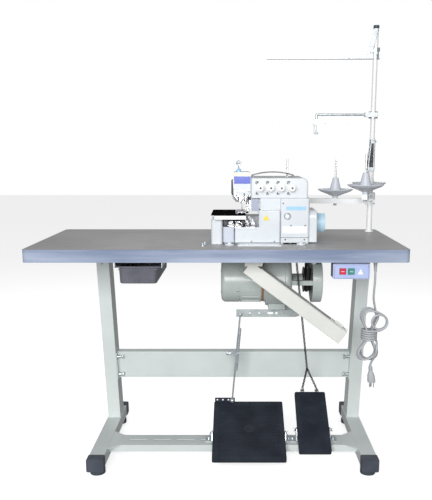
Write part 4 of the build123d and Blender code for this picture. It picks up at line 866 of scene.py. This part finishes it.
# ---------------------------------------------------------------- electrics
@dataclass
class Electrics:
    """Switch box, buttons, lamp and the mains flex with its hank and plug.

    Attributes:
        diameter: the flex's diameter, in metres.
        run: the flex's points from the clip down to the hank.
        plug_top: where the flex enters the plug.
        waist: the middle of the hank, where it is bound.
        turns: how many turns the hank has.
        layer_pitch: how far its turns lie apart in depth, in millimetres.
        wraps: how many times the flex goes round the waist.
        wrap_radius: how far the wraps lie from the waist's middle.
        wrap_steps: how many control points one wrap has.
        upper_lean: how far each turn leans above the waist, as a slope.
        upper_reach: how far each turn reaches above the waist, as a share.
        lower_lean: how far each turn leans below the waist, as a slope.
        lower_reach: how far each turn reaches below the waist, as a share.
    """

    diameter: float = 0.007
    run: Sequence[Triple] = ((501.0, -230.0, 703.0), (502.5, -231.0, 650.0), (499.5, -228.0, 602.0),
                             (502.0, -219.0, 578.0), (508.0, -213.0, 557.0))
    plug_top: Triple = (497.0, -230.0, 366.0)
    waist: Triple = (489.0, -230.0, 468.0)
    turns: int = 4
    layer_pitch: float = 7.05
    wraps: float = 4.8
    wrap_radius: float = 23.3
    wrap_steps: int = 14
    upper_lean: tuple[float, ...] = (0.0, 0.04, -0.05, 0.03, 0.0)
    upper_reach: tuple[float, ...] = (1.0, 1.03, 0.98, 1.02, 0.99)
    lower_lean: tuple[float, ...] = (0.09, -0.15, -0.10, -0.13)
    lower_reach: tuple[float, ...] = (1.0, 0.97, 0.94, 0.91)

    def dress(self) -> None:
        """Gives the CAD nodes their finishes."""
        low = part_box("switch_box")[0]
        box = TwoTone("lavender_moulding", (0.40, 0.48, 0.76), (0.46, 0.54, 0.80), (0.3, 0.42), 0, 14, 1200, 0.1,
                      axis=Axis.Y, limit=low.y + 0.006, beyond=(0.12, 0.12, 0.20))
        dress_in(box, "switch_box")
        dress_in(Finishes.button_green, "start_button")
        dress_in(Finishes.button_red, "stop_button")

    def box_trim(self) -> None:
        """Adds the lamp, the front plate's bead, the button marks and the box's screws."""
        lamp = Shaper("lamp_lens", UNDER).plate([(439.5, -38.5), (457.5, -38.5), (448.5, -20.5)], -265.0, -267.2)
        lamp.done(Finishes.lamp, "frame", None, 0.8)
        bead = Shaper("switch_front_bead", UNDER)
        for z in (-8.4, -51.2):
            bead.block((366, -266.2, z), (475, -264.6, z + 1.2))
        for x in (367.0, 473.2):
            bead.block((x, -266.2, -51), (x + 1.2, -264.6, -8))
        bead.done(Finishes.guard_grey, "frame", "switch_lavender", 0.4)
        for body, x in (("stop_button", 393.0), ("start_button", 419.5)):
            mark = Shaper(f"{body}_bar", UNDER).block((x - 5, -269.7, -29.8), (x + 5, -268.9, -28.2))
            mark.done(Finishes.dial, body, "dial_white", 0.2)
        screws = Shaper("switch_box_screws", UNDER)
        for x in (370.0, 471.0):
            screws.screw((x, -264.9, -12), TO_FRONT, 2.2, 1.2)
        screws.done(Finishes.zinc, "frame", "zinc")

    def outline(self) -> list[tuple[float, float]]:
        """Draws one turn of the hank, from its upper right.

        Returns:
            Places right of and above the waist, in millimetres.
        """
        def fold(radius: float, height: float, turns: Sequence[int]) -> list[tuple[float, float]]:
            """Draws part of a round fold.

            Args:
                radius: the fold's radius.
                height: its middle's height above the waist.
                turns: the points' angles from straight up, in degrees.

            Returns:
                The points.
            """
            return [(radius * sin(radians(turn)), height + radius * cos(radians(turn))) for turn in turns]

        down = [(18.6, 39.0), (14.2, 29.0), (10.0, 20.0), (6.8, 10.5), (5.6, 0.0), (6.8, -10.5), (10.3, -20.0),
                (14.6, -29.5), (19.4, -38.5)]
        climb = [(-out, rise) for out, rise in reversed(down)]
        top, bottom = (25.5, 58.5), (28.0, -59.5)
        upper, back = fold(*top, (62, 88, 114)), fold(*top, range(246, 400, 25))
        return upper + down + fold(*bottom, range(66, 297, 23)) + climb + back

    def hank_points(self) -> list[Triple]:
        """Draws the hank's turns, drawn in at the waist and fanned out above and below it.

        Returns:
            The control points, in millimetres.
        """
        points: list[Triple] = []
        outline = self.outline()
        waist_x, waist_y, waist_z = self.waist
        for step in range(self.turns * len(outline)):
            out, rise = outline[step % len(outline)]
            tau = step / len(outline)
            far = abs(rise) / 80
            reach = self.upper_reach[round(tau)] if rise > 0 else self.lower_reach[int(tau)]
            lean = self.upper_lean[round(tau)] if rise > 0 else self.lower_lean[int(tau)]
            layer = tau - self.turns / 2
            pitch = self.layer_pitch + 2.0 * far
            points.append((waist_x + out - lean * rise * far, waist_y - layer * pitch, waist_z + reach * rise))
        return points[:-1]

    def side_loop(self) -> list[Triple]:
        """Draws the loose loop that stands out on the right.

        Returns:
            The control points, in millimetres.
        """
        centre, radius = (515.0, 517.0), 24.5
        points = [(508.5, -251.5, 548.5)]
        for turn in range(20, 521, 25):
            across, up = radius * sin(radians(turn)), radius * cos(radians(turn))
            points.append((centre[0] + across, -253.0 - 8.6 * (turn - 20) / 360, centre[1] + up))
        return points

    def binding(self) -> list[Triple]:
        """Draws the wraps round the hank's waist.

        Returns:
            The control points, in millimetres.
        """
        waist_x, waist_y, waist_z = self.waist
        steps = round(self.wraps * self.wrap_steps)
        points = [(512.0, -262.5, 488.5), (502.0, -257.5, 486.5)]
        for step in range(steps):
            angle = radians(-80 - 360 * step / self.wrap_steps)
            points.append((
                waist_x + self.wrap_radius * cos(angle), waist_y + self.wrap_radius * sin(angle),
                waist_z + 18.0 - 36.0 * step / steps + 1.2 * sin(2 * angle + 1.0)))
        return points

    def flex(self) -> None:
        """Lays the mains flex from the clip through the hank to the plug."""
        tail: list[Triple] = [
            (512.3, -231.5, 450.0), (512.3, -242.0, 446.5), (511.5, -250.5, 439.0), (510.5, -255.5, 428.5),
            (509.5, -256.0, 417.0), (508.5, -252.5, 406.5), (506.5, -246.0, 396.5), (503.0, -238.5, 387.0),
            (499.3, -232.8, 377.0), self.plug_top]
        route = list(self.run) + self.hank_points() + self.side_loop() + self.binding() + tail
        curve = bpy.data.curves.new("mains_flex", "CURVE")
        curve.dimensions = "3D"
        curve.resolution_u = 8
        curve.bevel_depth = self.diameter / 2
        curve.bevel_resolution = 5
        curve.use_fill_caps = True
        spline = curve.splines.new("NURBS")
        spline.points.add(len(route) - 1)
        for point, place in zip(spline.points, route):
            point.co = (*FLOOR.at(*place), 1)
        spline.order_u = 3
        spline.use_endpoint_u = True
        piece = bpy.data.objects.new("mains_flex", curve)
        bpy.context.scene.collection.objects.link(piece)
        curve.materials.append(Finishes.flex.make())
        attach(piece, "frame")
        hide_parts("power_cord", "cord_hank")
        relief = Shaper("flex_relief", FLOOR)
        x, y, z = self.run[0]
        relief.turned((x, y, z + 1), (0.03, 0, -1), [(0, 6.6), (4, 6.6), (6, 5.8), (26, 4.5), (32, 3.9)], 24)
        for step in range(5):
            relief.ring((x + 0.1 * step, y, z - 7 - 4 * step), UP, 5.4 - 0.28 * step, 0.7)
        sleeve = relief.done(Finishes.flex, "frame", "cord_grey")
        plug, prongs = self.plug()

    def plug(self) -> tuple[bpy.types.Object, bpy.types.Object]:
        """Builds the moulded plug and its prongs.

        Returns:
            The plug's body and its prongs.
        """
        x, y, z = self.plug_top
        lean = 0.105
        body = Shaper("plug_body", FLOOR)
        sections = [(0, 5.2, 5.2), (6, 5.6, 5.6), (20, 6.4, 7.0), (27, 8.5, 11.5), (36, 10.2, 14.5), (52, 11.6, 16.0),
                    (58, 11.0, 15.4)]
        rings = []
        sides, power = 28, 0.75
        for down, wide, deep in sections:
            ring = []
            for step in range(sides):
                angle = 2 * pi * step / sides
                a = abs(cos(angle)) ** power * (1 if cos(angle) > 0 else -1)
                b = abs(sin(angle)) ** power * (1 if sin(angle) > 0 else -1)
                ring.append(body.mesh.verts.new(FLOOR.at(x + lean * down + deep * a * 0.8, y + wide * b, z - down)))
            rings.append(ring)
        for first, second in zip(rings, rings[1:]):
            for step in range(sides):
                after = (step + 1) % sides
                body.mesh.faces.new((first[step], first[after], second[after], second[step]))
        body.mesh.faces.new(list(reversed(rings[0])))
        body.mesh.faces.new(rings[-1])
        for step in range(4):
            body.ring((x + lean * (6 + 4 * step), y, z - 6 - 4 * step), (0.1, 0, -1), 6.0 + 0.2 * step, 0.7)
        plug = body.done(Finishes.flex, "frame", "cord_grey", 0, 50)
        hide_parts("power_plug")
        prongs = Shaper("plug_prongs", FLOOR)
        low, end = z - 57.5, z - 75.5
        middle = x + lean * 58
        for out in (-6.5, 6.5):
            prongs.block((middle + out - 0.8, y - 5.4, end), (middle + out + 0.8, y + 1.0, low))
        prongs.bar((middle, y + 6.5, low), (middle, y + 6.5, end - 1), 2.3)
        return plug, prongs.done(Finishes.brass, "frame", None, 0.3)

    def build(self) -> None:
        """Builds the whole sub-assembly."""
        self.dress()
        self.box_trim()
        self.flex()


# ---------------------------------------------------------------- head
@dataclass
class Head:
    """The sewing head: casting, covers, cloth plate, stitch-forming metalwork and dials.

    Attributes:
        dial_first: the first dial's place.
        dial_pitch: between two dials.
        dial_height: the dials' height above the board.
        needle: where the needle bar stands.
        presser: where the presser bar stands.
    """

    dial_first: float = 140.0
    dial_pitch: float = 34.0
    dial_height: float = 181.0
    needle: tuple[float, float] = (81.0, -75.0)
    presser: tuple[float, float] = (99.0, -60.0)

    def dress(self) -> None:
        """Gives the CAD nodes their finishes."""
        dress_in(Finishes.head, "head_base", "head_arm", "side_cover", "looper_cover", "top_cover", "belt_cover",
                 "oil_pan")
        top = BED.at(0, 0, 94.6).z
        plate = TwoTone("black_plate_white_lip", (0.80, 0.83, 0.86), (0.86, 0.88, 0.90), (0.5, 0.65), 0, 8, 1200, 0.05,
                        axis=Axis.Z, limit=top, beyond=(0.008, 0.008, 0.008), shine=0.0)
        dress_in(plate, "cloth_plate")
        guards = TwoTone("guards_two_greys", (0.50, 0.54, 0.63), (0.56, 0.60, 0.68), (0.3, 0.42), 0, 14, 1200, 0.08,
                         axis=Axis.Z, limit=BED.at(0, 0, 80).z, beyond=(0.36, 0.39, 0.50))
        dress_in(guards, "front_guards")
        dress_in(Finishes.steel, "throat_plate")
        dress_in(Finishes.dial, *(f"tension_dial_{index}" for index in range(1, 5)))
        dress_in(Finishes.dark_steel, "thread_guides")
        dress_in(Finishes.steel, "needle_bar", "presser_foot", "upper_looper", "lower_looper", "feed_dog",
                 "upper_knife")
        dress_in(Finishes.wheel, "handwheel")
        dress_in(Finishes.clear, "oil_sights")
        tab = TwoTone("cream_tab_dark_arm", (0.09, 0.09, 0.10), (0.14, 0.14, 0.15), (0.25, 0.4), 0.3, 20, 1200, 0.06,
                      axis=Axis.Z, limit=BED.at(0, 0, 208).z, beyond=(0.70, 0.69, 0.60))
        dress_in(tab, "eye_guard")

    def dial_faces(self) -> None:
        """Adds each dial's skirt, fluting, dark centre and the notches beside it."""
        z = self.dial_height
        notches = Shaper("dial_notches", BED)
        for index in range(4):
            x = self.dial_first + self.dial_pitch * index
            body = f"dial_{index + 1}"
            centre = Shaper(f"{body}_centre", BED)
            centre.turned((x, -149.9, z), TO_FRONT, [(0, 3.6), (0.5, 3.6), (0.9, 3.0)], 24)
            centre.done(Finishes.black_plastic, body, "black_plastic")
            skirt = Shaper(f"{body}_flutes", BED)
            for step in range(20):
                angle = 2 * pi * step / 20
                across, up = x + 9.45 * cos(angle), z + 9.45 * sin(angle)
                skirt.bar((across, -139.5, up), (across, -148.6, up), 0.75, sides=8)
            skirt.done(Finishes.dial, body, "dial_white")
            for turn in (118.0, 134.0, 232.0):
                reach = 17.0
                a = (x + reach * cos(radians(turn)), -125.5, z + reach * sin(radians(turn)))
                b = (x + (reach + 6.5) * cos(radians(turn)), -125.5, z + (reach + 6.5) * sin(radians(turn)))
                notches.bar(a, b, 1.5, 1.1, sides=10)
        notches.done(Finishes.seam, "frame")

    def name_plates(self) -> None:
        """Adds the plain blue plate, the plain cream band and the plain rating plate."""
        plates = (
            ("plain_front_plate", (54.6, -98.9, 193), (108.2, -97.7, 216.5), Finishes.name_blue, None, 0.8),
            ("plain_top_band", (54.2, -98.7, 217.6), (108.6, -97.7, 229.4), Finishes.guard_cream, "guard_cream", 0.5),
            ("plain_rating_plate", (212, -140.9, 34), (292, -139.8, 58), Finishes.dial, "dial_white", 0.6),
            ("plain_badge", (224, -140.8, 110), (288, -139.8, 122), Finishes.light_blue, None, 0.8),
        )
        for name, low, high, finish, slot, bevel in plates:
            Shaper(name, BED).block(low, high).done(finish, "frame", slot, bevel)

    def seams_and_screws(self) -> None:
        """Adds the casting's seam lines and its small dark screws."""
        seams = Shaper("casting_seams", BED)
        seams.block((130, -125.5, 147.6), (296, -124.6, 148.6))
        seams.block((206, -140.5, 20), (298, -139.7, 21.2))
        seams.block((18.4, -150.4, 3), (19.8, -147, 80))
        seams.done(Finishes.seam, "frame")
        screws = Shaper("casting_screws", BED)
        places = ((140, -125, 134), (214, -140, 132), (240, -140, 60), (286, -140, 60), (222, -140, 14),
                  (284, -140, 14))
        for place in places:
            screws.screw(place, TO_FRONT, 2.4, 1.2)
        for x in (126.0, 168.0, 196.0):
            screws.screw((x, -98, 202), TO_FRONT, 1.0, 0.5)
        screws.done(Finishes.dark_steel, "frame")

    def oil_parts(self) -> None:
        """Adds the round window's rim and glass and the dome's base ring."""
        rim = Shaper("oil_window_rim", BED)
        rim.turned((228, -139.6, 90), TO_FRONT, [(0, 11.5), (1.6, 11.5), (2.4, 10.4), (2.4, 8.8), (1.0, 8.4)], 40)
        rim.done(Finishes.steel, "frame", "steel")
        glass = Shaper("oil_window_glass", BED)
        glass.turned((228, -141.2, 90), TO_FRONT, [(0, 8.5), (0.6, 8.3), (1.2, 6.0), (1.5, 2.5)], 32)
        glass.done(Finishes.dial, "frame", "clear")
        ring = Shaper("oil_dome_ring", BED)
        ring.turned((70, -60, 231), UP, [(0, 8.4), (5.5, 8.2), (7.5, 6.0), (9.5, 5.0)], 32)
        ring.done(Finishes.light_blue, "frame")

    def metalwork(self) -> None:
        """Adds the needle clamp, thread eyes, links and brackets round the presser."""
        nx, ny = self.needle
        px, py = self.presser
        clamp = Shaper("needle_clamp", BED)
        clamp.block((nx - 6, ny - 6, 133), (nx + 6, ny + 6, 143))
        clamp.screw((nx, ny - 6, 138), TO_FRONT, 2.6, 3.5)
        clamp.ring((nx - 8, ny - 7, 141), TO_REAR, 2.6, 0.6)
        clamp.done(Finishes.steel, "needle_bar", "steel", 0.5)
        arm = Shaper("presser_arm", BED)
        arm.block((px - 5, py - 42, 118), (px + 6, py + 8, 127))
        arm.block((px - 4, py - 44, 102), (px + 5, py - 36, 127))
        arm.screw((px, py - 44, 122), TO_FRONT, 3.0, 3.0)
        arm.bar((px - 2, py - 40, 112), (px + 10, py - 40, 112), 2.0)
        arm.done(Finishes.steel, "presser_foot", "steel", 0.8)
        guides = Shaper("front_thread_guides", BED)
        for x, z, radius in ((58, 148, 4.2), (66, 156, 3.2), (88, 150, 3.4), (104, 158, 3.4)):
            guides.ring((x, -100, z), TO_REAR, radius, 0.9)
            guides.bar((x, -97.6, z + radius), (x, -97.6, z + radius + 9), 1.2)
        guides.block((54, -101, 168), (106, -98, 172))
        guides.block((54, -102, 156), (62, -98, 170))
        for x in (60, 74, 92, 102):
            guides.screw((x, -101, 170), TO_FRONT, 2.0, 1.4)
        guides.done(Finishes.steel, "frame", "steel", 0.4)
        plate = Shaper("face_plate", BED)
        face = [(52, 190), (109, 190), (109, 153), (96, 146), (92, 132), (84, 128), (70, 134), (58, 146), (52, 156)]
        plate.plate(face, -97.6, -94.0)
        plate.done(Finishes.steel, "frame", "steel", 0.8)
        bracket = Shaper("guard_bracket", BED)
        bracket.plate([(49, 176), (53, 176), (55, 150), (64, 138), (62, 134), (50, 146)], -97, -93)
        bracket.bar((47, -94, 160), (47, -94, 205), 1.6)
        bracket.bar((47, -94, 160), (56, -94, 152), 1.6)
        bracket.done(Finishes.dark_steel, "frame", None, 0.4)
        small = Shaper("dark_links", BED)
        small.block((66, -99.5, 136), (71, -97, 150))
        small.block((86, -99.5, 134), (90, -97, 162))
        small.bar((76, -99, 132), (90, -99, 150), 1.4)
        small.bar((100, -99, 150), (108, -99, 138), 1.6)
        small.ball((100, -99, 150), 2.6)
        small.done(Finishes.dark_steel, "frame", None, 0.3)

    def looper_mechanism(self) -> None:
        """Adds the screws, levers and thread eyes seen in the recess under the cloth plate."""
        back = Shaper("recess_shadow", BED).block((20, -118, 44), (92, -116, 80))
        back.done(Finishes.seam, "frame")
        bright = Shaper("looper_levers", BED)
        bright.plate([(36, 44), (50, 44), (56, 62), (48, 76), (36, 72)], -136, -132)
        bright.plate([(56, 50), (74, 46), (78, 58), (66, 70), (58, 66)], -140, -136)
        bright.bar((40, -138, 70), (60, -138, 52), 2.2)
        bright.bar((34, -142, 58), (52, -142, 74), 1.6)
        bright.bar((58, -142, 74), (80, -142, 68), 1.8)
        for x, z, radius in ((42, 66, 4.0), (52, 56, 3.4), (64, 60, 4.4), (72, 72, 3.2), (60, 50, 3.0)):
            bright.screw((x, -140, z), TO_FRONT, radius, 3.2)
        for x, z in ((44, 52), (70, 52), (80, 62)):
            bright.ring((x, -146, z), TO_REAR, 3.0, 0.8)
            bright.bar((x, -146, z - 3), (x, -134, z - 5), 0.8)
        bright.done(Finishes.steel, "frame", "steel", 0.5)
        dark = Shaper("looper_dark_parts", BED)
        dark.block((21, -146, 60), (34, -134, 79))
        dark.turned((62, -147, 46), TO_FRONT, [(0, 5.4), (3.4, 5.4), (4.4, 4.4)], 24)
        dark.block((76, -144, 44), (90, -132, 56))
        dark.block((78, -142, 66), (92, -132, 76))
        dark.done(Finishes.dark_steel, "frame", None, 0.6)

    def wheel_grip(self) -> None:
        """Adds the handwheel's grip ribs and hub cap."""
        y, z = -60.0, 62.0
        grip = Shaper("handwheel_ribs", BED)
        for step in range(36):
            angle = 2 * pi * step / 36
            a, b = y + 31.4 * cos(angle), z + 31.4 * sin(angle)
            grip.bar((331, a, b), (355, a, b), 0.8, sides=6)
        grip.turned((358, y, z), TO_RIGHT, [(0, 9), (1.2, 9), (2.2, 7.2)], 32)
        grip.done(Finishes.wheel, "handwheel", "wheel_blue")
        mark = Shaper("handwheel_mark", BED).block((346, y - 1.2, z + 31.0), (352, y + 1.2, z + 32.0))
        mark.done(Finishes.dial, "handwheel", "dial_white", 0.3)

    def cover_trim(self) -> None:
        """Adds the looper cover's finger lip, its small sign plate and the base's front screws."""
        lip = Shaper("looper_cover_lip", BED)
        lip.block((60, -154.0, 48), (132, -151.6, 51))
        lip.block((140, -153.6, 60), (141.4, -151.6, 104))
        lip.done(Finishes.head, "looper_cover", "head_white", 0.7)
        sign = Shaper("plain_sign", BED).plate([(148, 78), (170, 78), (159, 97)], -152.9, -151.8)
        sign.done(Finishes.plain_yellow, "looper_cover", None, 0.4)
        dark = Shaper("cover_hinge_screws", BED)
        for x in (112.0, 186.0):
            dark.screw((x, -152, 9), TO_FRONT, 2.2, 1.2)
        dark.done(Finishes.dark_steel, "looper_cover")

    def build(self) -> None:
        """Builds the whole sub-assembly."""
        self.dress()
        self.dial_faces()
        self.name_plates()
        self.seams_and_screws()
        self.oil_parts()
        self.metalwork()
        self.looper_mechanism()
        self.wheel_grip()
        self.cover_trim()


# ---------------------------------------------------------------- thread stand
@dataclass
class ThreadStand:
    """The pole with its spool rails, spool seats and thread guides.

    Attributes:
        rail_low: the front rail's underside above the board.
    """

    rail_low: float = 106.0

    def dress(self) -> None:
        """Gives the CAD nodes their finishes."""
        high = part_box("stand_pole")[1]
        pole = TwoTone("pole_white_dark_cap", (0.86, 0.87, 0.87), (0.92, 0.93, 0.93), (0.26, 0.38), 0, 10, 900, 0.06,
                       0.25, axis=Axis.Z, limit=high.z - 0.012, beyond=(0.03, 0.03, 0.032))
        dress_in(pole, "stand_pole")
        dress_in(Finishes.pole, "spool_rails")
        dress_in(Finishes.steel, "spool_pins")
        dress_in(Finishes.spool, "spool_seats")
        dress_in(Finishes.zinc, "upper_guide", "lower_guide")

    def clamp_screws(self) -> None:
        """Adds the clamp screws on the pole and on the guides' collars."""
        screws = Shaper("pole_clamp_screws", POLE)
        for z in (self.rail_low + 6, self.rail_low + 26, 340.0):
            self.screw_at(screws, z)
        screws.done(Finishes.zinc, "frame", "zinc")
        for name, body, z in (("lower_guide_screw", "lower_guide", 421.0), ("upper_guide_screw", "upper_guide", 640.0)):
            collar = Shaper(name, POLE)
            self.screw_at(collar, z)
            collar.done(Finishes.zinc, body, "zinc")

    def screw_at(self, shaper: Shaper, z: float) -> None:
        """Adds one hex-headed clamp screw to a piece.

        Args:
            shaper: the piece that takes the screw.
            z: its height above the board, in millimetres.
        """
        shaper.bar((0, -10, z), (0, -20, z), 2.4)
        shaper.turned((0, -18, z), TO_FRONT, [(0, 5.2), (5, 5.2), (6, 4.2)], 6)

    def rear_clip(self) -> None:
        """Adds the wedge-shaped clip that holds the pole's lower half, with its open slot."""
        clip = Shaper("pole_wedge_clip", POLE)
        clip.plate([(-10, 340), (8, 340), (8, 226), (-21, 226)], -17.0, -14.5)
        clip.plate([(-10, 340), (-7.5, 340), (-18, 226), (-21, 226)], -17.0, -9.0)
        clip.plate([(5.5, 340), (8, 340), (8, 226), (5.5, 226)], -17.0, -9.0)
        clip.done(Finishes.zinc, "frame", "zinc", 0.5)
        slot = Shaper("pole_clip_slot", POLE).plate([(-6, 326), (3, 326), (3, 240), (-13, 240)], -17.6, -17.0)
        slot.done(Finishes.dark_steel, "frame")

    def build(self) -> None:
        """Builds the whole sub-assembly."""
        self.dress()
        self.clamp_screws()
        self.rear_clip()


# ---------------------------------------------------------------- studio
@dataclass
class Studio:
    """Pale floor and backdrop, soft light and the camera.

    Attributes:
        place: the camera's place, in metres.
        tilt: the camera's tilt from straight down, in degrees.
        lens: its focal length, in millimetres.
        shift: its sideways and upward shift.
        ambient: how brightly the surroundings light the machine.
        paper_glow: how much light the paper floor gives off, so that it stays white.
    """

    place: Triple = (0.0527, -2.305, 1.046)
    tilt: float = 79.0
    lens: float = 47.4
    shift: tuple[float, float] = (-0.046, 0.0594)
    ambient: float = 0.27
    paper_glow: float = 0.6

    def camera(self) -> None:
        """Sets the camera up."""
        data = bpy.data.cameras.new("studio_camera")
        data.lens = self.lens
        data.sensor_width = 36
        data.shift_x, data.shift_y = self.shift
        camera = bpy.data.objects.new("studio_camera", data)
        camera.location = self.place
        camera.rotation_euler = (radians(self.tilt), 0, 0)
        bpy.context.scene.collection.objects.link(camera)
        bpy.context.scene.camera = camera

    def floor(self) -> None:
        """Lays the floor."""
        mesh = bmesh.new()
        bmesh.ops.create_grid(mesh, x_segments=8, y_segments=8, size=14)
        data = bpy.data.meshes.new("studio_floor")
        mesh.to_mesh(data)
        mesh.free()
        plane = bpy.data.objects.new("studio_floor", data)
        bpy.context.scene.collection.objects.link(plane)
        paper = Finish("studio_paper", (0.93, 0.93, 0.93), (0.95, 0.95, 0.95), (0.8, 0.9), 0, 2, 200, 0.01)
        sheet = paper.make()
        shader = sheet.node_tree.nodes["Principled BSDF"]
        shader.inputs["Emission Color"].default_value = (1, 1, 1, 1)
        shader.inputs["Emission Strength"].default_value = self.paper_glow
        data.materials.append(sheet)
        plane.visible_diffuse = False
        plane.visible_glossy = False

    def air(self) -> None:
        """Sets the pale backdrop, dimmer as light than it looks."""
        world = bpy.data.worlds.new("studio_air")
        world.use_nodes = True
        tree = world.node_tree
        background = tree.nodes["Background"]
        background.inputs["Color"].default_value = (1, 1, 1, 1)
        seen = tree.nodes.new("ShaderNodeLightPath").outputs["Is Camera Ray"]
        strength = tree.nodes.new("ShaderNodeMapRange")
        strength.inputs["To Min"].default_value = self.ambient
        strength.inputs["To Max"].default_value = 1.0
        tree.links.new(seen, strength.inputs["Value"])
        tree.links.new(strength.outputs["Result"], background.inputs["Strength"])
        bpy.context.scene.world = world

    def lamp(self, name: str, place: Triple, aim: Triple, size: tuple[float, float], power: float) -> None:
        """Hangs one soft light.

        Args:
            name: the light's name.
            place: where it hangs, in metres.
            aim: what it points at, in metres.
            size: its two sides, in metres.
            power: its power, in watts.
        """
        data = bpy.data.lights.new(name, "AREA")
        data.shape = "RECTANGLE"
        data.size, data.size_y = size
        data.energy = power
        light = bpy.data.objects.new(name, data)
        light.location = place
        light.rotation_euler = (Vector(aim) - Vector(place)).to_track_quat("-Z", "Y").to_euler()
        bpy.context.scene.collection.objects.link(light)

    def build(self) -> None:
        """Sets the whole studio up."""
        self.camera()
        self.floor()
        self.air()
        bpy.context.scene.view_settings.view_transform = "Standard"
        self.lamp("key", (-0.5, -3.8, 1.7), (0, 0, 0.6), (2.6, 1.8), 158)
        self.lamp("rear", (0.2, 2.4, 2.4), (0, 0, 0.9), (2.6, 1.2), 16)


def main() -> None:
    """Builds every sub-assembly in order."""
    Studio().build()
    for part in (Electrics(), StandAndTable(), Drive(), Head(), ThreadStand()):
        part.build()
        log.info("%s is complete", type(part).__name__)


if __name__ == "__main__":
    logging.basicConfig(level=logging.INFO, format="%(message)s")
    main()
